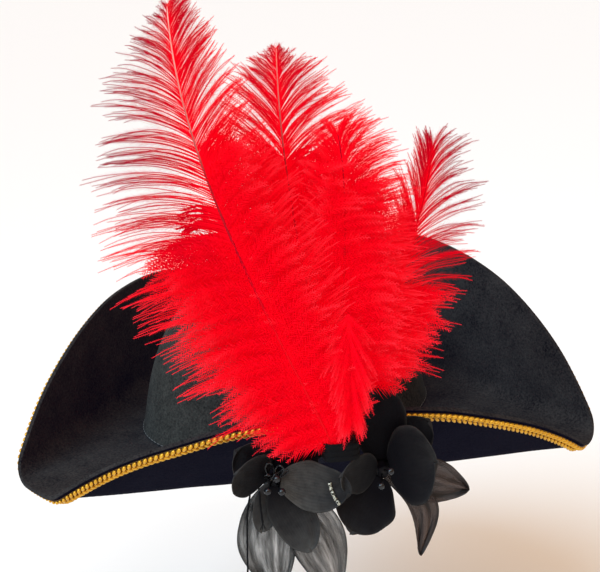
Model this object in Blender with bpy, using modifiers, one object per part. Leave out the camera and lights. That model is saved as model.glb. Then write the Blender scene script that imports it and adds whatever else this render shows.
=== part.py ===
"""Three-cornered felt hat with a corsage of plumes and cloth flowers on its left flap.

Metres. +Z is up, the wearer faces -Y and +X is the wearer's left. The origin is the centre of the
head opening, level with the underside of the flat brim.

The brim is one flat disc of felt folded up along three slightly bowed lines. The corsage is laid
out in the trim frame, which is turned so that its -Y axis points straight out of the left flap:
its X runs along the flap, its Z is up.
"""
import math

import bmesh
import bpy
from mathutils import Matrix, Vector

# Felt and seams
FELT = 0.0025
GAP = 0.0003
FACET_GAP = 0.0006
SEWN_WITHIN = 1e-6
SHARP_EDGE = math.radians(40)

# Head opening, at the brim's underside
HEAD_HALF_WIDTH = 0.080
HEAD_HALF_LENGTH = 0.098
BAND_THICKNESS = 0.001
BAND_BOTTOM = 0.001
BAND_TOP = 0.028
COLLAR_HEIGHT = 0.013

# Crown: a cone up to the shoulder, then a dome
CROWN_HEIGHT = 0.106
CROWN_TAPER = math.radians(13)
SHOULDER_HEIGHT = 0.030
DOME_PROFILE = ((1.0, SHOULDER_HEIGHT), (0.90, 0.070), (0.70, CROWN_HEIGHT), (0.0, CROWN_HEIGHT))
CROWN_STEPS = 44
CONE_ROWS = 2
DOME_ROWS = 8

# Brim: a disc set a little to the back, and its flaps as (direction, fold distance, fold angle)
RIM_RADIUS = 0.208
RIM_SETBACK = 0.010
FLAPS = {
    "left": (math.radians(-30), 0.118, math.radians(48)),
    "back": (math.radians(90), 0.107, math.radians(86)),
    "right": (math.radians(210), 0.108, math.radians(93)),
}
FOLD_RADIUS = 0.014
FOLD_BOW = 0.005
FOLD_BOW_SPAN = 0.180
BRIM_STEPS = 84
BEND_ROWS = 4
FOLD_LIMITS = (0.80, 0.92)
EDGE_ROWS = (0.010, 0.005, 0.001, 0.0)
BRIM_ROWS = 2 + BEND_ROWS + 1 + 2 + len(EDGE_ROWS)
CORNER_DIRECTION = math.radians(-90)
CORNER_CROWDING = 0.6

# Gold braid: distance of its centre line from the edge, and its two-lobed section as
# fractions of half the width and of the thickness
BRAID_INSET = 0.005
BRAID_WIDTH = 0.007
BRAID_THICKNESS = 0.0018
BRAID_PROBE = 0.001
BRAID_SECTION = (
    (-1, 0.35), (-0.55, 1), (0, 0.55), (0.55, 1), (1, 0.35), (0.85, 0), (0, 0), (-0.85, 0),
)

# Corsage: turn of the trim frame, the wrap round the quills, and the wedge pad behind it
TRIM_TURN = math.radians(60)
PIVOT_HEIGHT = 0.048
WRAP_CENTRE = (0.0095, -0.1927)
WRAP_HALF = (0.0088, 0.0133)
WRAP_WALL = 0.0012
WRAP_HEIGHT = 0.010
WRAP_SQUARENESS = 5
WRAP_STEPS = 24
PAD_BOTTOM = 0.016
PAD_TOP = 0.050
PAD_HALF_WIDTH = 0.017

# Plumes: where the quill is held, the shaft's curve from there as three more Bezier points, and the
# barbs on its left and right as (longest barb, how much shorter they get up the shaft and how late,
# angle to the shaft, more angle at the foot, less angle at the tip and how late, how far a barb curls)
QUILL_RADIUS = 0.0011
SHAFT_TIP = 0.3
SHAFT_STEPS = 10
QUILL_BELOW = 0.006
VANE_THICKNESS = 0.0016
VANE_START = 0.10
VANE_ROWS = 20
VANE_HALF_COLUMNS = 3
BARB_DROOP = 0.16
BARB_NOTCH = 0.84
FOOT_SHORTENING = 0.6
FOOT_SHORTENING_POWER = 7
TIP_SHORTENING = 0.7
TIP_SHORTENING_POWER = 12
FOOT_TURN_POWER = 8
PLUME_BOW = 0.008
PLUME_BOW_SPAN = 0.240
PLUMES = {
    "plume_1": {
        "hold": (0.006, -0.203),
        "shaft": ((-0.025, 0.065), (-0.073, 0.160), (-0.072, 0.244)),
        "left": (0.079, 0.80, 3.0, 57, 12, 30, 6.0, 30),
        "right": (0.066, 0.25, 1.0, 62, 0, 38, 2.5, 15),
    },
    "plume_2": {
        "hold": (0.0085, -0.191),
        "shaft": ((-0.006, 0.070), (-0.022, 0.140), (-0.020, 0.218)),
        "left": (0.048, 0.45, 3.0, 45, 10, 6, 3.0, 8),
        "right": (0.076, 0.65, 4.0, 70, -45, 50, 3.0, 20),
    },
    "plume_3": {
        "hold": (0.010, -0.197),
        "shaft": ((0.003, 0.065), (0.015, 0.130), (0.008, 0.172)),
        "left": (0.045, 0.20, 1.0, 45, 40, 22, 3.0, 15),
        "right": (0.052, 0.15, 1.0, 72, -40, 45, 3.0, 30),
    },
    "plume_4": {
        "hold": (0.013, -0.185),
        "shaft": ((0.014, 0.052), (0.050, 0.098), (0.058, 0.158)),
        "left": (0.046, 0.10, 1.0, 32, 20, 14, 3.0, 10),
        "right": (0.050, 0.10, 1.0, 60, -20, 42, 2.0, 25),
    },
}

# Cloth flowers: heart of each, then its petals from back to front as
# (direction, length, width, lean towards the viewer, bow of its midline to the left)
PETAL_CLOTH = 0.0008
PETAL_STEP = 0.0014
PETAL_ROOT = 0.004
PETAL_COLUMNS = 4
PETAL_ROWS = 6
PETAL_CUP = 0.05
PLEATS = 2
PLEAT_DEPTH = 0.0011
PLEAT_COLUMNS = 8
PETAL_OUTLINE = (0.09, 0.80, 0.75)
PETAL_ROUNDING = 0.12
SHEER_LENGTH = 0.045
STEM_RADIUS = 0.0011
STEM_STEP = 0.006
STEM_BEND = 0.004
CALYX_STEPS = 12
CALYX_PROFILE = ((0.0062, 0.006), (0.0050, 0.0035), (0.0026, 0.0), (0.0, 0.0))
CORE_RADIUS = 0.0034
STAMEN_STALK = 0.0006
STAMEN_LENGTH = 0.010
STAMEN_RING = 0.0014
STAMEN_STEPS = 8
BEAD_ROWS = 6
BEAD_RADIUS = 0.0022
FLOWERS = {
    "left_flower": {
        "heart": (-0.028, -0.181, 0.030),
        "stem": ((0.005, -0.1815, 0.052), (0.004, -0.1815, 0.040), (-0.010, -0.177, 0.032)),
        "petals": (
            (35, 0.026, 0.030, 3, 0.0),
            (138, 0.022, 0.026, 4, 0.0),
            (-92, 0.066, 0.034, 4, -0.004),
            (-66, 0.074, 0.032, 5, 0.005),
            (-106, 0.027, 0.016, 10, 0.0),
            (-66, 0.042, 0.026, 14, 0.0),
            (158, 0.030, 0.028, 38, 0.0),
            (-12, 0.040, 0.029, 22, 0.0),
        ),
        "stamens": ((80, 22), (200, 20), (320, 16)),
    },
    "right_flower": {
        "heart": (0.034, -0.181, 0.028),
        "stem": ((0.014, -0.1815, 0.052), (0.015, -0.1815, 0.040), (0.021, -0.177, 0.031)),
        "petals": (
            (40, 0.034, 0.030, 0, 0.0),
            (88, 0.045, 0.030, 1, 0.0),
            (-16, 0.048, 0.026, 1, 0.0),
            (-65, 0.052, 0.016, 3, 0.007),
            (8, 0.027, 0.050, 15, 0.0),
            (-126, 0.035, 0.038, 20, 0.0),
            (165, 0.024, 0.022, 36, 0.0),
        ),
        "stamens": ((60, 20), (230, 22)),
    },
}

# Tie cord: a knot beside the left calyx and a tail that hangs down in front of the petals
CORD_RADIUS = 0.0006
CORD_STEP = 0.003
KNOT_RADIUS = 0.0021
KNOT_STEPS = 10
KNOT_ROWS = 6
KNOT_PLACE = (-0.0366, -0.178, 0.029)
CORD_ROUTE = (
    (-0.0372, -0.1803, 0.0272),
    (-0.0410, -0.1880, 0.0225),
    (-0.0440, -0.1945, 0.0120),
    (-0.0452, -0.1970, 0.0),
    (-0.0460, -0.1975, -0.0140),
    (-0.0466, -0.1975, -0.0280),
    (-0.0468, -0.1975, -0.0380),
)

# Colours as linear RGB, with roughness
BLACK_FELT = ((0.006, 0.006, 0.012), 0.95)
BLACK_CLOTH = ((0.010, 0.010, 0.014), 0.7)
BLACK_SHEER = ((0.030, 0.022, 0.022), 0.6)
BLACK_GLOSS = ((0.006, 0.006, 0.007), 0.12)
BLACK_TAPE = ((0.010, 0.009, 0.010), 0.8)
GOLD_THREAD = ((0.560, 0.330, 0.060), 0.38)
RED_BARB = ((0.800, 0.003, 0.010), 0.65)
RED_QUILL = ((0.480, 0.010, 0.014), 0.5)
BAND_RIBBON = ((0.012, 0.011, 0.012), 0.6)


def material(name, finish):
    colour, roughness = finish
    made = bpy.data.materials.new(name)
    made.use_nodes = True
    shader = made.node_tree.nodes["Principled BSDF"]
    shader.inputs["Base Color"].default_value = (*colour, 1.0)
    shader.inputs["Roughness"].default_value = roughness
    shader.inputs["Metallic"].default_value = 0.0
    return made


def empty(name, parent, place=(0.0, 0.0, 0.0)):
    made = bpy.data.objects.new(name, None)
    made.location = place
    made.parent = parent
    bpy.context.scene.collection.objects.link(made)
    return made


def add_part(name, data, finish, parent=None, matrix=None):
    """Put a mesh or a curve into the hat's collection as one sub-part with its own material."""
    made = bpy.data.objects.new(name, data)
    data.materials.append(material(name, finish))
    made.parent = parent
    if matrix:
        made.matrix_local = matrix
    bpy.data.collections["pirate_hat"].objects.link(made)
    return made


def mapped_grid(name, columns, rows, shape):
    """A grid of faces moved into place by shape(u, v); edges that come to lie together are sewn."""
    grid = bmesh.new()
    bmesh.ops.create_grid(grid, x_segments=columns, y_segments=rows, size=0.5)
    for corner in grid.verts:
        corner.co = shape(corner.co.x + 0.5, corner.co.y + 0.5)
    bmesh.ops.remove_doubles(grid, verts=grid.verts, dist=SEWN_WITHIN)
    mesh = bpy.data.meshes.new(name)
    grid.to_mesh(mesh)
    grid.free()
    mesh.shade_smooth()
    mesh.set_sharp_from_angle(angle=SHARP_EDGE)
    return mesh


def thicken(part, thickness, offset):
    """Give a surface its cloth thickness; offset -1 grows it away from the face's outward side."""
    shell = part.modifiers.new("cloth", "SOLIDIFY")
    shell.thickness = thickness
    shell.offset = offset
    shell.use_even_offset = True


def bezier(points, t):
    """Point at t on a cubic Bezier curve through the plane."""
    weights = ((1 - t) ** 3, 3 * t * (1 - t) ** 2, 3 * t * t * (1 - t), t ** 3)
    return Vector([sum(w * p[axis] for w, p in zip(weights, points)) for axis in range(2)])


def bezier_direction(points, t):
    weights = ((1 - t) ** 2, 2 * t * (1 - t), t * t)
    steps = [Vector(b) - Vector(a) for a, b in zip(points, points[1:])]
    return sum((w * s for w, s in zip(weights, steps)), Vector((0.0, 0.0))).normalized()


def smooth_route(points, spacing):
    """Points about one spacing apart on a smooth curve through a route's own points."""
    route = [Vector(p) for p in points]
    route = [2 * route[0] - route[1], *route, 2 * route[-1] - route[-2]]
    smooth = []
    for a, b, c, d in zip(route, route[1:], route[2:], route[3:]):
        count = max(2, round((c - b).length / spacing))
        for k in range(count):
            t = k / count
            bend = (2 * a - 5 * b + 4 * c - d) * t ** 2 + (3 * b - a - 3 * c + d) * t ** 3
            smooth.append(b + ((c - a) * t + bend) / 2)
    return [*smooth, route[-2]]


def tube(name, points, radius, resolution, thinning=None):
    """A curve with a round section and closed ends; thinning gives each point's share of the radius."""
    curve = bpy.data.curves.new(name, "CURVE")
    curve.dimensions = "3D"
    curve.bevel_depth = radius
    curve.bevel_resolution = resolution
    curve.use_fill_caps = True
    spline = curve.splines.new("POLY")
    spline.points.add(len(points) - 1)
    for k, place in enumerate(points):
        spline.points[k].co = (*place, 1.0)
        spline.points[k].radius = thinning[k] if thinning else 1.0
    return curve


def turned(name, profile, steps, finish, parent, matrix):
    """A profile of (radius, height), from its top down, turned about Z."""
    lathe = bmesh.new()
    corners = [lathe.verts.new((radius, 0.0, height)) for radius, height in profile]
    for a, b in zip(corners, corners[1:]):
        lathe.edges.new((a, b))
    mesh = bpy.data.meshes.new(name)
    lathe.to_mesh(mesh)
    lathe.free()
    part = add_part(name, mesh, finish, parent, matrix)
    screw = part.modifiers.new("turn", "SCREW")
    screw.steps = steps
    screw.render_steps = steps
    screw.use_merge_vertices = True
    screw.merge_threshold = SEWN_WITHIN
    screw.use_smooth_shade = True
    return part


def oval(turn, growth, height, shrink=1.0):
    """Point on the head's oval, grown outwards and drawn in by the crown's taper at its height."""
    growth -= min(height, SHOULDER_HEIGHT) * math.tan(CROWN_TAPER)
    angle = 2 * math.pi * turn
    width = (HEAD_HALF_WIDTH + growth) * shrink
    length = (HEAD_HALF_LENGTH + growth) * shrink
    return Vector((width * math.cos(angle), length * math.sin(angle), height))


# How far each layer stands out from the head's oval
SLANTED_FELT = FELT / math.cos(CROWN_TAPER)
COLLAR_GROWTH = BAND_THICKNESS + FACET_GAP
CROWN_GROWTH = COLLAR_GROWTH + SLANTED_FELT + FACET_GAP + SLANTED_FELT
CROWN_SEAT = FELT + GAP + FELT * math.sin(CROWN_TAPER)


def crown_point(u, v):
    row = v * (CONE_ROWS + DOME_ROWS)
    if row <= CONE_ROWS:
        height = CROWN_SEAT + (SHOULDER_HEIGHT - CROWN_SEAT) * row / CONE_ROWS
        return oval(u, CROWN_GROWTH, height)
    shrink, height = bezier(DOME_PROFILE, (row - CONE_ROWS) / DOME_ROWS)
    return oval(u, CROWN_GROWTH, height, shrink)


def past_fold(flat, flap):
    """Flap's outward direction, and how far a point of the flat disc lies past its fold line."""
    direction, distance, _ = flap
    outwards = Vector((math.cos(direction), math.sin(direction)))
    sideways = outwards.x * flat.y - outwards.y * flat.x
    return outwards, flat.dot(outwards) - distance + FOLD_BOW * (sideways / FOLD_BOW_SPAN) ** 2


def folded(flat):
    """Where a point of the flat felt disc lies once the three flaps are folded up."""
    place = Vector((flat.x, flat.y, 0.0))
    for flap in FLAPS.values():
        outwards, past = past_fold(flat, flap)
        if past <= 0:
            continue
        bend = min(past / FOLD_RADIUS, flap[2])
        straight = past - FOLD_RADIUS * bend
        reach = FOLD_RADIUS * math.sin(bend) + straight * math.cos(bend)
        place.xy += (reach - past) * outwards
        place.z += FOLD_RADIUS * (1 - math.cos(bend)) + straight * math.sin(bend)
    return place


def crowded(u):
    """Turn fraction with the steps drawn together at the three corners, where the felt bends most."""
    from_corner = 3 * (2 * math.pi * u - CORNER_DIRECTION)
    return u - CORNER_CROWDING * math.sin(from_corner) / (6 * math.pi)


def on_disc(u, inset):
    """Point of the flat disc near its edge, at one turn fraction and one distance from the edge."""
    angle = 2 * math.pi * crowded(u)
    radius = RIM_RADIUS - inset
    return Vector((radius * math.cos(angle), RIM_SETBACK + radius * math.sin(angle)))


def brim_rows(inner, outer):
    """Row places from the head oval to the edge, as fractions, with close rows round the fold."""
    first, last = FOLD_LIMITS
    for flap in FLAPS.values():
        _, inner_past = past_fold(inner, flap)
        _, outer_past = past_fold(outer, flap)
        if outer_past > 0:
            first = min(first, -inner_past / (outer_past - inner_past))
            last = min(last, (FOLD_RADIUS * flap[2] - inner_past) / (outer_past - inner_past))
    bend = [first + (last - first) * k / BEND_ROWS for k in range(BEND_ROWS + 1)]
    return [0.0, first / 2, *bend, last + (1 - last) / 3, last + (1 - last) * 2 / 3]


def brim_point(u, v):
    """Under face of the brim: down the collar, out over the felt, then in close rows to the edge."""
    inner = oval(crowded(u), COLLAR_GROWTH, 0.0).xy
    outer = on_disc(u, EDGE_ROWS[0])
    places = [folded(inner.lerp(outer, share)) for share in brim_rows(inner, outer)]
    places += [folded(on_disc(u, inset)) for inset in EDGE_ROWS]
    row = round(v * len(places))
    return places[row - 1] if row else oval(crowded(u), COLLAR_GROWTH, COLLAR_HEIGHT)


def band_point(u, v):
    """Section of the sweatband, up its outer face and down its inner one."""
    section = (
        (BAND_THICKNESS, BAND_BOTTOM),
        (BAND_THICKNESS, BAND_TOP),
        (0.0, BAND_TOP),
        (0.0, BAND_BOTTOM),
    )
    growth, height = section[round(v * 4) % 4]
    return oval(u, growth, height)


def braid_point(u, v):
    """Section of the braid, standing on the flap's outer face."""
    count = len(BRAID_SECTION)
    across, high = BRAID_SECTION[round(v * count) % count]
    inset = BRAID_INSET - across * BRAID_WIDTH / 2
    outwards = folded(on_disc(u, inset - BRAID_PROBE)) - folded(on_disc(u, inset + BRAID_PROBE))
    ahead = folded(on_disc(u + BRAID_PROBE, inset)) - folded(on_disc(u - BRAID_PROBE, inset))
    normal = ahead.cross(outwards).normalized()
    return folded(on_disc(u, inset)) + normal * (FACET_GAP + high * BRAID_THICKNESS)


def make_hat():
    crown = add_part(
        "crown",
        mapped_grid("crown", CROWN_STEPS, CONE_ROWS + DOME_ROWS, crown_point),
        BLACK_FELT,
    )
    thicken(crown, FELT, -1)
    brim = add_part(
        "brim",
        mapped_grid("brim", BRIM_STEPS, BRIM_ROWS, brim_point),
        BLACK_FELT,
    )
    thicken(brim, FELT, -1)
    add_part("sweatband", mapped_grid("sweatband", CROWN_STEPS, 4, band_point), BAND_RIBBON)
    braid = mapped_grid("edge_braid", BRIM_STEPS, len(BRAID_SECTION), braid_point)
    add_part("edge_braid", braid, GOLD_THREAD)


def flap_face(height):
    """Trim-frame Y of the left flap's outer face, on its straight part, at a height."""
    _, distance, angle = FLAPS["left"]
    straight = (height - FOLD_RADIUS * (1 - math.cos(angle))) / math.sin(angle)
    return -(distance + FOLD_RADIUS * math.sin(angle) + straight * math.cos(angle))


def wrap_point(u, v):
    """Section of the wrap, up its outer face and down its inner one, round a squarish loop."""
    angle = 2 * math.pi * u
    outside = round(v * 4) % 4 < 2
    top = round(v * 4) % 4 in (1, 2)
    grow = WRAP_WALL if outside else 0.0
    power = 2 / WRAP_SQUARENESS
    cosine, sine = math.cos(angle), math.sin(angle)
    x = WRAP_CENTRE[0] + (WRAP_HALF[0] + grow) * math.copysign(abs(cosine) ** power, cosine)
    y = WRAP_CENTRE[1] + (WRAP_HALF[1] + grow) * math.copysign(abs(sine) ** power, sine)
    return Vector((x, y, PIVOT_HEIGHT + (WRAP_HEIGHT / 2 if top else -WRAP_HEIGHT / 2)))


def make_backing(trim):
    """Wedge pad: its back lies on the leaning flap, its upright front carries the wrap."""
    front = WRAP_CENTRE[1] + WRAP_HALF[1] + WRAP_WALL + FACET_GAP
    clear = FACET_GAP / math.sin(FLAPS["left"][2])
    outline = (
        (flap_face(PAD_BOTTOM) - clear, PAD_BOTTOM),
        (flap_face(PAD_TOP) - clear, PAD_TOP),
        (front, PAD_TOP),
        (front, PIVOT_HEIGHT - WRAP_HEIGHT / 2),
        (flap_face(PAD_BOTTOM) - FELT, PAD_BOTTOM),
    )
    curve = bpy.data.curves.new("trim_backing", "CURVE")
    curve.dimensions = "2D"
    curve.fill_mode = "BOTH"
    curve.extrude = PAD_HALF_WIDTH
    spline = curve.splines.new("POLY")
    spline.points.add(len(outline) - 1)
    for k, (depth, height) in enumerate(outline):
        spline.points[k].co = (depth, height, 0.0, 1.0)
    spline.use_cyclic_u = True
    stand = Matrix(((0, 0, 1, WRAP_CENTRE[0]), (1, 0, 0, 0), (0, 1, 0, 0), (0, 0, 0, 1)))
    add_part("trim_backing", curve, BLACK_FELT, trim, stand)
    add_part("plume_wrap", mapped_grid("plume_wrap", WRAP_STEPS, 4, wrap_point), BLACK_TAPE, trim)


def plume_bow(height):
    """How far back a plume bows at a height above the wrap."""
    return PLUME_BOW * math.sin(math.pi * height / PLUME_BOW_SPAN)


def barb_length(barbs, along):
    """Barbs get shorter up the shaft, and are stunted at its foot and at its tip."""
    longest, fall, fall_power = barbs[:3]
    foot = 1 - FOOT_SHORTENING * (1 - along) ** FOOT_SHORTENING_POWER
    tip = 1 - TIP_SHORTENING * along ** TIP_SHORTENING_POWER
    return longest * (1 - fall * along ** fall_power) * foot * tip


def barb_angle(barbs, along):
    """Angle between a barb and the shaft, halfway along the barb's curl."""
    middle, foot_turn, tip_turn, tip_power = barbs[3:7]
    return math.radians(
        middle + foot_turn * (1 - along) ** FOOT_TURN_POWER - tip_turn * along ** tip_power
    )


def make_plume(name, plume, trim):
    """One plume: a tapering shaft, and its barbs as a sheet whose rows run out along the barbs."""
    shaft = ((0.0, 0.0), *plume["shaft"])
    pivot = empty(name + "_hold", trim, (*plume["hold"], PIVOT_HEIGHT))
    depth = QUILL_RADIUS + GAP + VANE_THICKNESS / 2

    def vane_point(u, v):
        along = VANE_START + (1 - VANE_START) * v
        side = 1 if u < 0.5 else -1
        barbs = plume["left" if u < 0.5 else "right"]
        out = abs(2 * u - 1)
        length = barb_length(barbs, along) * (BARB_NOTCH if round(v * VANE_ROWS) % 2 else 1.0)
        curl = math.radians(barbs[7])
        start = barb_angle(barbs, along) - curl / 2
        bearing = start + curl * out
        forth = (math.sin(bearing) - math.sin(start)) * length / curl
        aside = (math.cos(start) - math.cos(bearing)) * length / curl
        ahead = bezier_direction(shaft, along)
        x, z = bezier(shaft, along) + forth * ahead + side * aside * Vector((-ahead.y, ahead.x))
        z -= BARB_DROOP * length * out ** 2
        return Vector((x, depth + plume_bow(z), z))

    columns = 2 * VANE_HALF_COLUMNS
    vane = add_part(
        name + "_vane", mapped_grid(name + "_vane", columns, VANE_ROWS, vane_point), RED_BARB, pivot
    )
    thicken(vane, VANE_THICKNESS, 0)

    foot = -bezier_direction(shaft, 0.0) * QUILL_BELOW
    line = [foot] + [bezier(shaft, k / SHAFT_STEPS) for k in range(SHAFT_STEPS + 1)]
    points = [(x, plume_bow(z), z) for x, z in line]
    thinning = [1.0] + [1 + (SHAFT_TIP - 1) * k / SHAFT_STEPS for k in range(SHAFT_STEPS + 1)]
    quill = tube(name + "_shaft", points, QUILL_RADIUS, 1, thinning)
    add_part(name + "_shaft", quill, RED_QUILL, pivot)


def make_petal(name, heart, layer, petal, trim):
    """One spoon-shaped petal, narrow at its root and cupped towards the viewer; a long one is sheer
    cloth that hangs in pleats."""
    direction, length, width, lean, bow = petal
    sheer = length > SHEER_LENGTH
    pleat = PLEAT_DEPTH if sheer else 0.0
    narrow_root, run, fullness = PETAL_OUTLINE

    def petal_point(u, v):
        side = 2 * u - 1
        half = width / 2 * math.sin(math.pi * (narrow_root + run * v)) ** fullness
        reach = length * v * (1 - PETAL_ROUNDING * side * side * v)
        front = PETAL_CUP * width * side * side * v + pleat * math.cos(math.pi * PLEATS * side) * v ** 2
        return Vector((reach, side * half + bow * math.sin(math.pi * v), front))

    facing = Matrix.Rotation(math.radians(90), 4, "X")
    leaning = Matrix.Rotation(math.radians(-lean), 4, "Y")
    turning = Matrix.Rotation(math.radians(-direction), 4, "Y")
    root = Vector(heart) + turning.to_3x3() @ Vector((PETAL_ROOT, 0.0, 0.0))
    root.y -= (layer + 1) * PETAL_STEP
    matrix = Matrix.Translation(root) @ turning @ facing @ leaning
    mesh = mapped_grid(name, PLEAT_COLUMNS if sheer else PETAL_COLUMNS, PETAL_ROWS, petal_point)
    part = add_part(name, mesh, BLACK_SHEER if sheer else BLACK_CLOTH, trim, matrix)
    thicken(part, PETAL_CLOTH, 0)


def stamen_profile():
    """A thin stalk that ends in a round bead, as (radius, height) from the top down."""
    bead_foot = math.pi - math.asin(STAMEN_STALK / BEAD_RADIUS)
    turns = [bead_foot * k / BEAD_ROWS for k in range(BEAD_ROWS + 1)]
    bead = [(BEAD_RADIUS * math.sin(a), STAMEN_LENGTH + BEAD_RADIUS * math.cos(a)) for a in turns]
    return [*bead, (STAMEN_STALK, 0.0), (0.0, 0.0)]


def make_flower(name, flower, trim):
    """A calyx whose core carries the petals round it and the stamens on its end, on a wire stem."""
    heart = Vector(flower["heart"])
    facing = Matrix.Rotation(math.radians(90), 4, "X")
    calyx_length = CALYX_PROFILE[0][1]
    core_length = (len(flower["petals"]) + 1) * PETAL_STEP
    core_top = calyx_length + core_length
    core = ((0.0, core_top), (CORE_RADIUS, core_top), (CORE_RADIUS, calyx_length))
    calyx_foot = heart + Vector((0.0, calyx_length, 0.0))
    seat = Matrix.Translation(calyx_foot) @ facing
    turned(name + "_calyx", (*core, *CALYX_PROFILE), CALYX_STEPS, BLACK_CLOTH, trim, seat)
    stem_end = calyx_foot + Vector((0.0, FACET_GAP, 0.0))
    bend = stem_end + Vector((0.0, STEM_BEND, 0.0))
    route = smooth_route([*flower["stem"], bend, stem_end], STEM_STEP)
    add_part(name + "_stem", tube(name + "_stem", route, STEM_RADIUS, 1), BLACK_TAPE, trim)
    for layer, petal in enumerate(flower["petals"]):
        make_petal(f"{name}_petal_{layer + 1}", heart, layer, petal, trim)
    for k, (direction, spread) in enumerate(flower["stamens"]):
        turning = Matrix.Rotation(math.radians(-direction), 4, "Y")
        leaning = Matrix.Rotation(math.radians(spread), 4, "Y")
        foot = heart + turning.to_3x3() @ Vector((STAMEN_RING, 0.0, 0.0))
        foot.y -= core_length + GAP
        matrix = Matrix.Translation(foot) @ turning @ facing @ leaning
        turned(f"{name}_stamen_{k + 1}", stamen_profile(), STAMEN_STEPS, BLACK_GLOSS, trim, matrix)


def make_tie(trim):
    knot = bmesh.new()
    bmesh.ops.create_uvsphere(knot, u_segments=KNOT_STEPS, v_segments=KNOT_ROWS, radius=KNOT_RADIUS)
    mesh = bpy.data.meshes.new("tie_knot")
    knot.to_mesh(mesh)
    knot.free()
    mesh.shade_smooth()
    add_part("tie_knot", mesh, BLACK_TAPE, trim, Matrix.Translation(KNOT_PLACE))
    route = smooth_route(CORD_ROUTE, CORD_STEP)
    add_part("tie_cord", tube("tie_cord", route, CORD_RADIUS, 2), BLACK_TAPE, trim)


def main():
    for old in list(bpy.data.objects):
        bpy.data.objects.remove(old)
    bpy.context.scene.collection.children.link(bpy.data.collections.new("pirate_hat"))
    make_hat()
    trim = empty("trim_frame", None)
    trim.rotation_euler.z = TRIM_TURN
    make_backing(trim)
    for name, plume in PLUMES.items():
        make_plume(name, plume, trim)
    for name, flower in FLOWERS.items():
        make_flower(name, flower, trim)
    make_tie(trim)


main()
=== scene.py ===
# %% [markdown]
# # A three-cornered felt hat with red plumes
# The hat is a black wool-felt tricorn with a gold braid along its edge. A corsage sits on its left
# flap: four dyed ostrich plumes bound together by a tape, and two black cloth flowers on wire stems.
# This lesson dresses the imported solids: each step says what a piece is on the real hat and how it
# is made here. The solids set every size and place, so the first step is to load them.

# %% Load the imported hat
import math

import bmesh
import bpy
from mathutils import Matrix, Vector, noise


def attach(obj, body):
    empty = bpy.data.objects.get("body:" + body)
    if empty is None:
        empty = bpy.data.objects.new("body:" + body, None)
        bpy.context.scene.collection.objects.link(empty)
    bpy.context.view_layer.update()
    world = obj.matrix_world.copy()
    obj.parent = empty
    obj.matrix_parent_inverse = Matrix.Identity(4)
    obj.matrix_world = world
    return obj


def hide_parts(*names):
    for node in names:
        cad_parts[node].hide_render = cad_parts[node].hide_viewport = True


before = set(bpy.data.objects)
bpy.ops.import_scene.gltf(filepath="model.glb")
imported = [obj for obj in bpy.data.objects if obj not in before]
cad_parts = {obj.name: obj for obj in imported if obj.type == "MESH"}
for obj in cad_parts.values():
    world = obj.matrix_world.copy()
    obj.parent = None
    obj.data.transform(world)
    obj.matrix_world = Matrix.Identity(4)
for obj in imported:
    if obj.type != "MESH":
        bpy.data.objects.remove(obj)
scene = bpy.context.scene
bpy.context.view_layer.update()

# %% [markdown]
# ## Camera
# The picture looks at the left flap from a little above, with the hat tipped slightly in the frame.
# A camera is a matrix whose columns are its right, up and backward axes, so the three angles and
# the aim are written down and the matrix is put together from them.

# %% Camera at the photograph's angle
PHOTO_WIDTH = 600
METRES_PER_PIXEL = 0.00070
CAMERA_DISTANCE = 0.950
CAMERA_RISE = math.radians(14.79)
CAMERA_YAW = math.radians(6.17)
CAMERA_ROLL = math.radians(3.41)
CAMERA_AIM = (0.01388, 0.08628)
TRIM_TURN = math.radians(60)
TRIM = Matrix.Rotation(TRIM_TURN, 4, "Z")


def make_camera():
    across = Vector((1, 0, 0))
    up = Vector((0, math.sin(CAMERA_RISE), math.cos(CAMERA_RISE)))
    ahead = Vector((0, math.cos(CAMERA_RISE), -math.sin(CAMERA_RISE)))
    place = CAMERA_AIM[0] * across + CAMERA_AIM[1] * up - CAMERA_DISTANCE * ahead
    rolled_across = across * math.cos(CAMERA_ROLL) - up * math.sin(CAMERA_ROLL)
    rolled_up = across * math.sin(CAMERA_ROLL) + up * math.cos(CAMERA_ROLL)
    axes = Matrix((rolled_across, rolled_up, -ahead)).transposed().to_4x4()
    lens = bpy.data.cameras.new("photo_camera")
    lens.sensor_fit = "HORIZONTAL"
    lens.lens = lens.sensor_width * CAMERA_DISTANCE / METRES_PER_PIXEL / PHOTO_WIDTH
    camera = bpy.data.objects.new("photo_camera", lens)
    turn = Matrix.Rotation(TRIM_TURN - CAMERA_YAW, 4, "Z")
    camera.matrix_world = turn @ Matrix.Translation(place) @ axes
    scene.collection.objects.link(camera)
    scene.camera = camera
    return camera


camera = make_camera()
print("camera:", [round(x, 3) for x in camera.location], "lens", round(camera.data.lens, 1), "mm")

# %% [markdown]
# ## Nodes written as code
# Node trees for shapes and for finishes are both long chains of sums. A small wrapper lets a chain
# be written like a formula: a Field is a socket, and adding or multiplying Fields adds Math nodes.
# A Graph is a tree to which such nodes are added.

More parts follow.
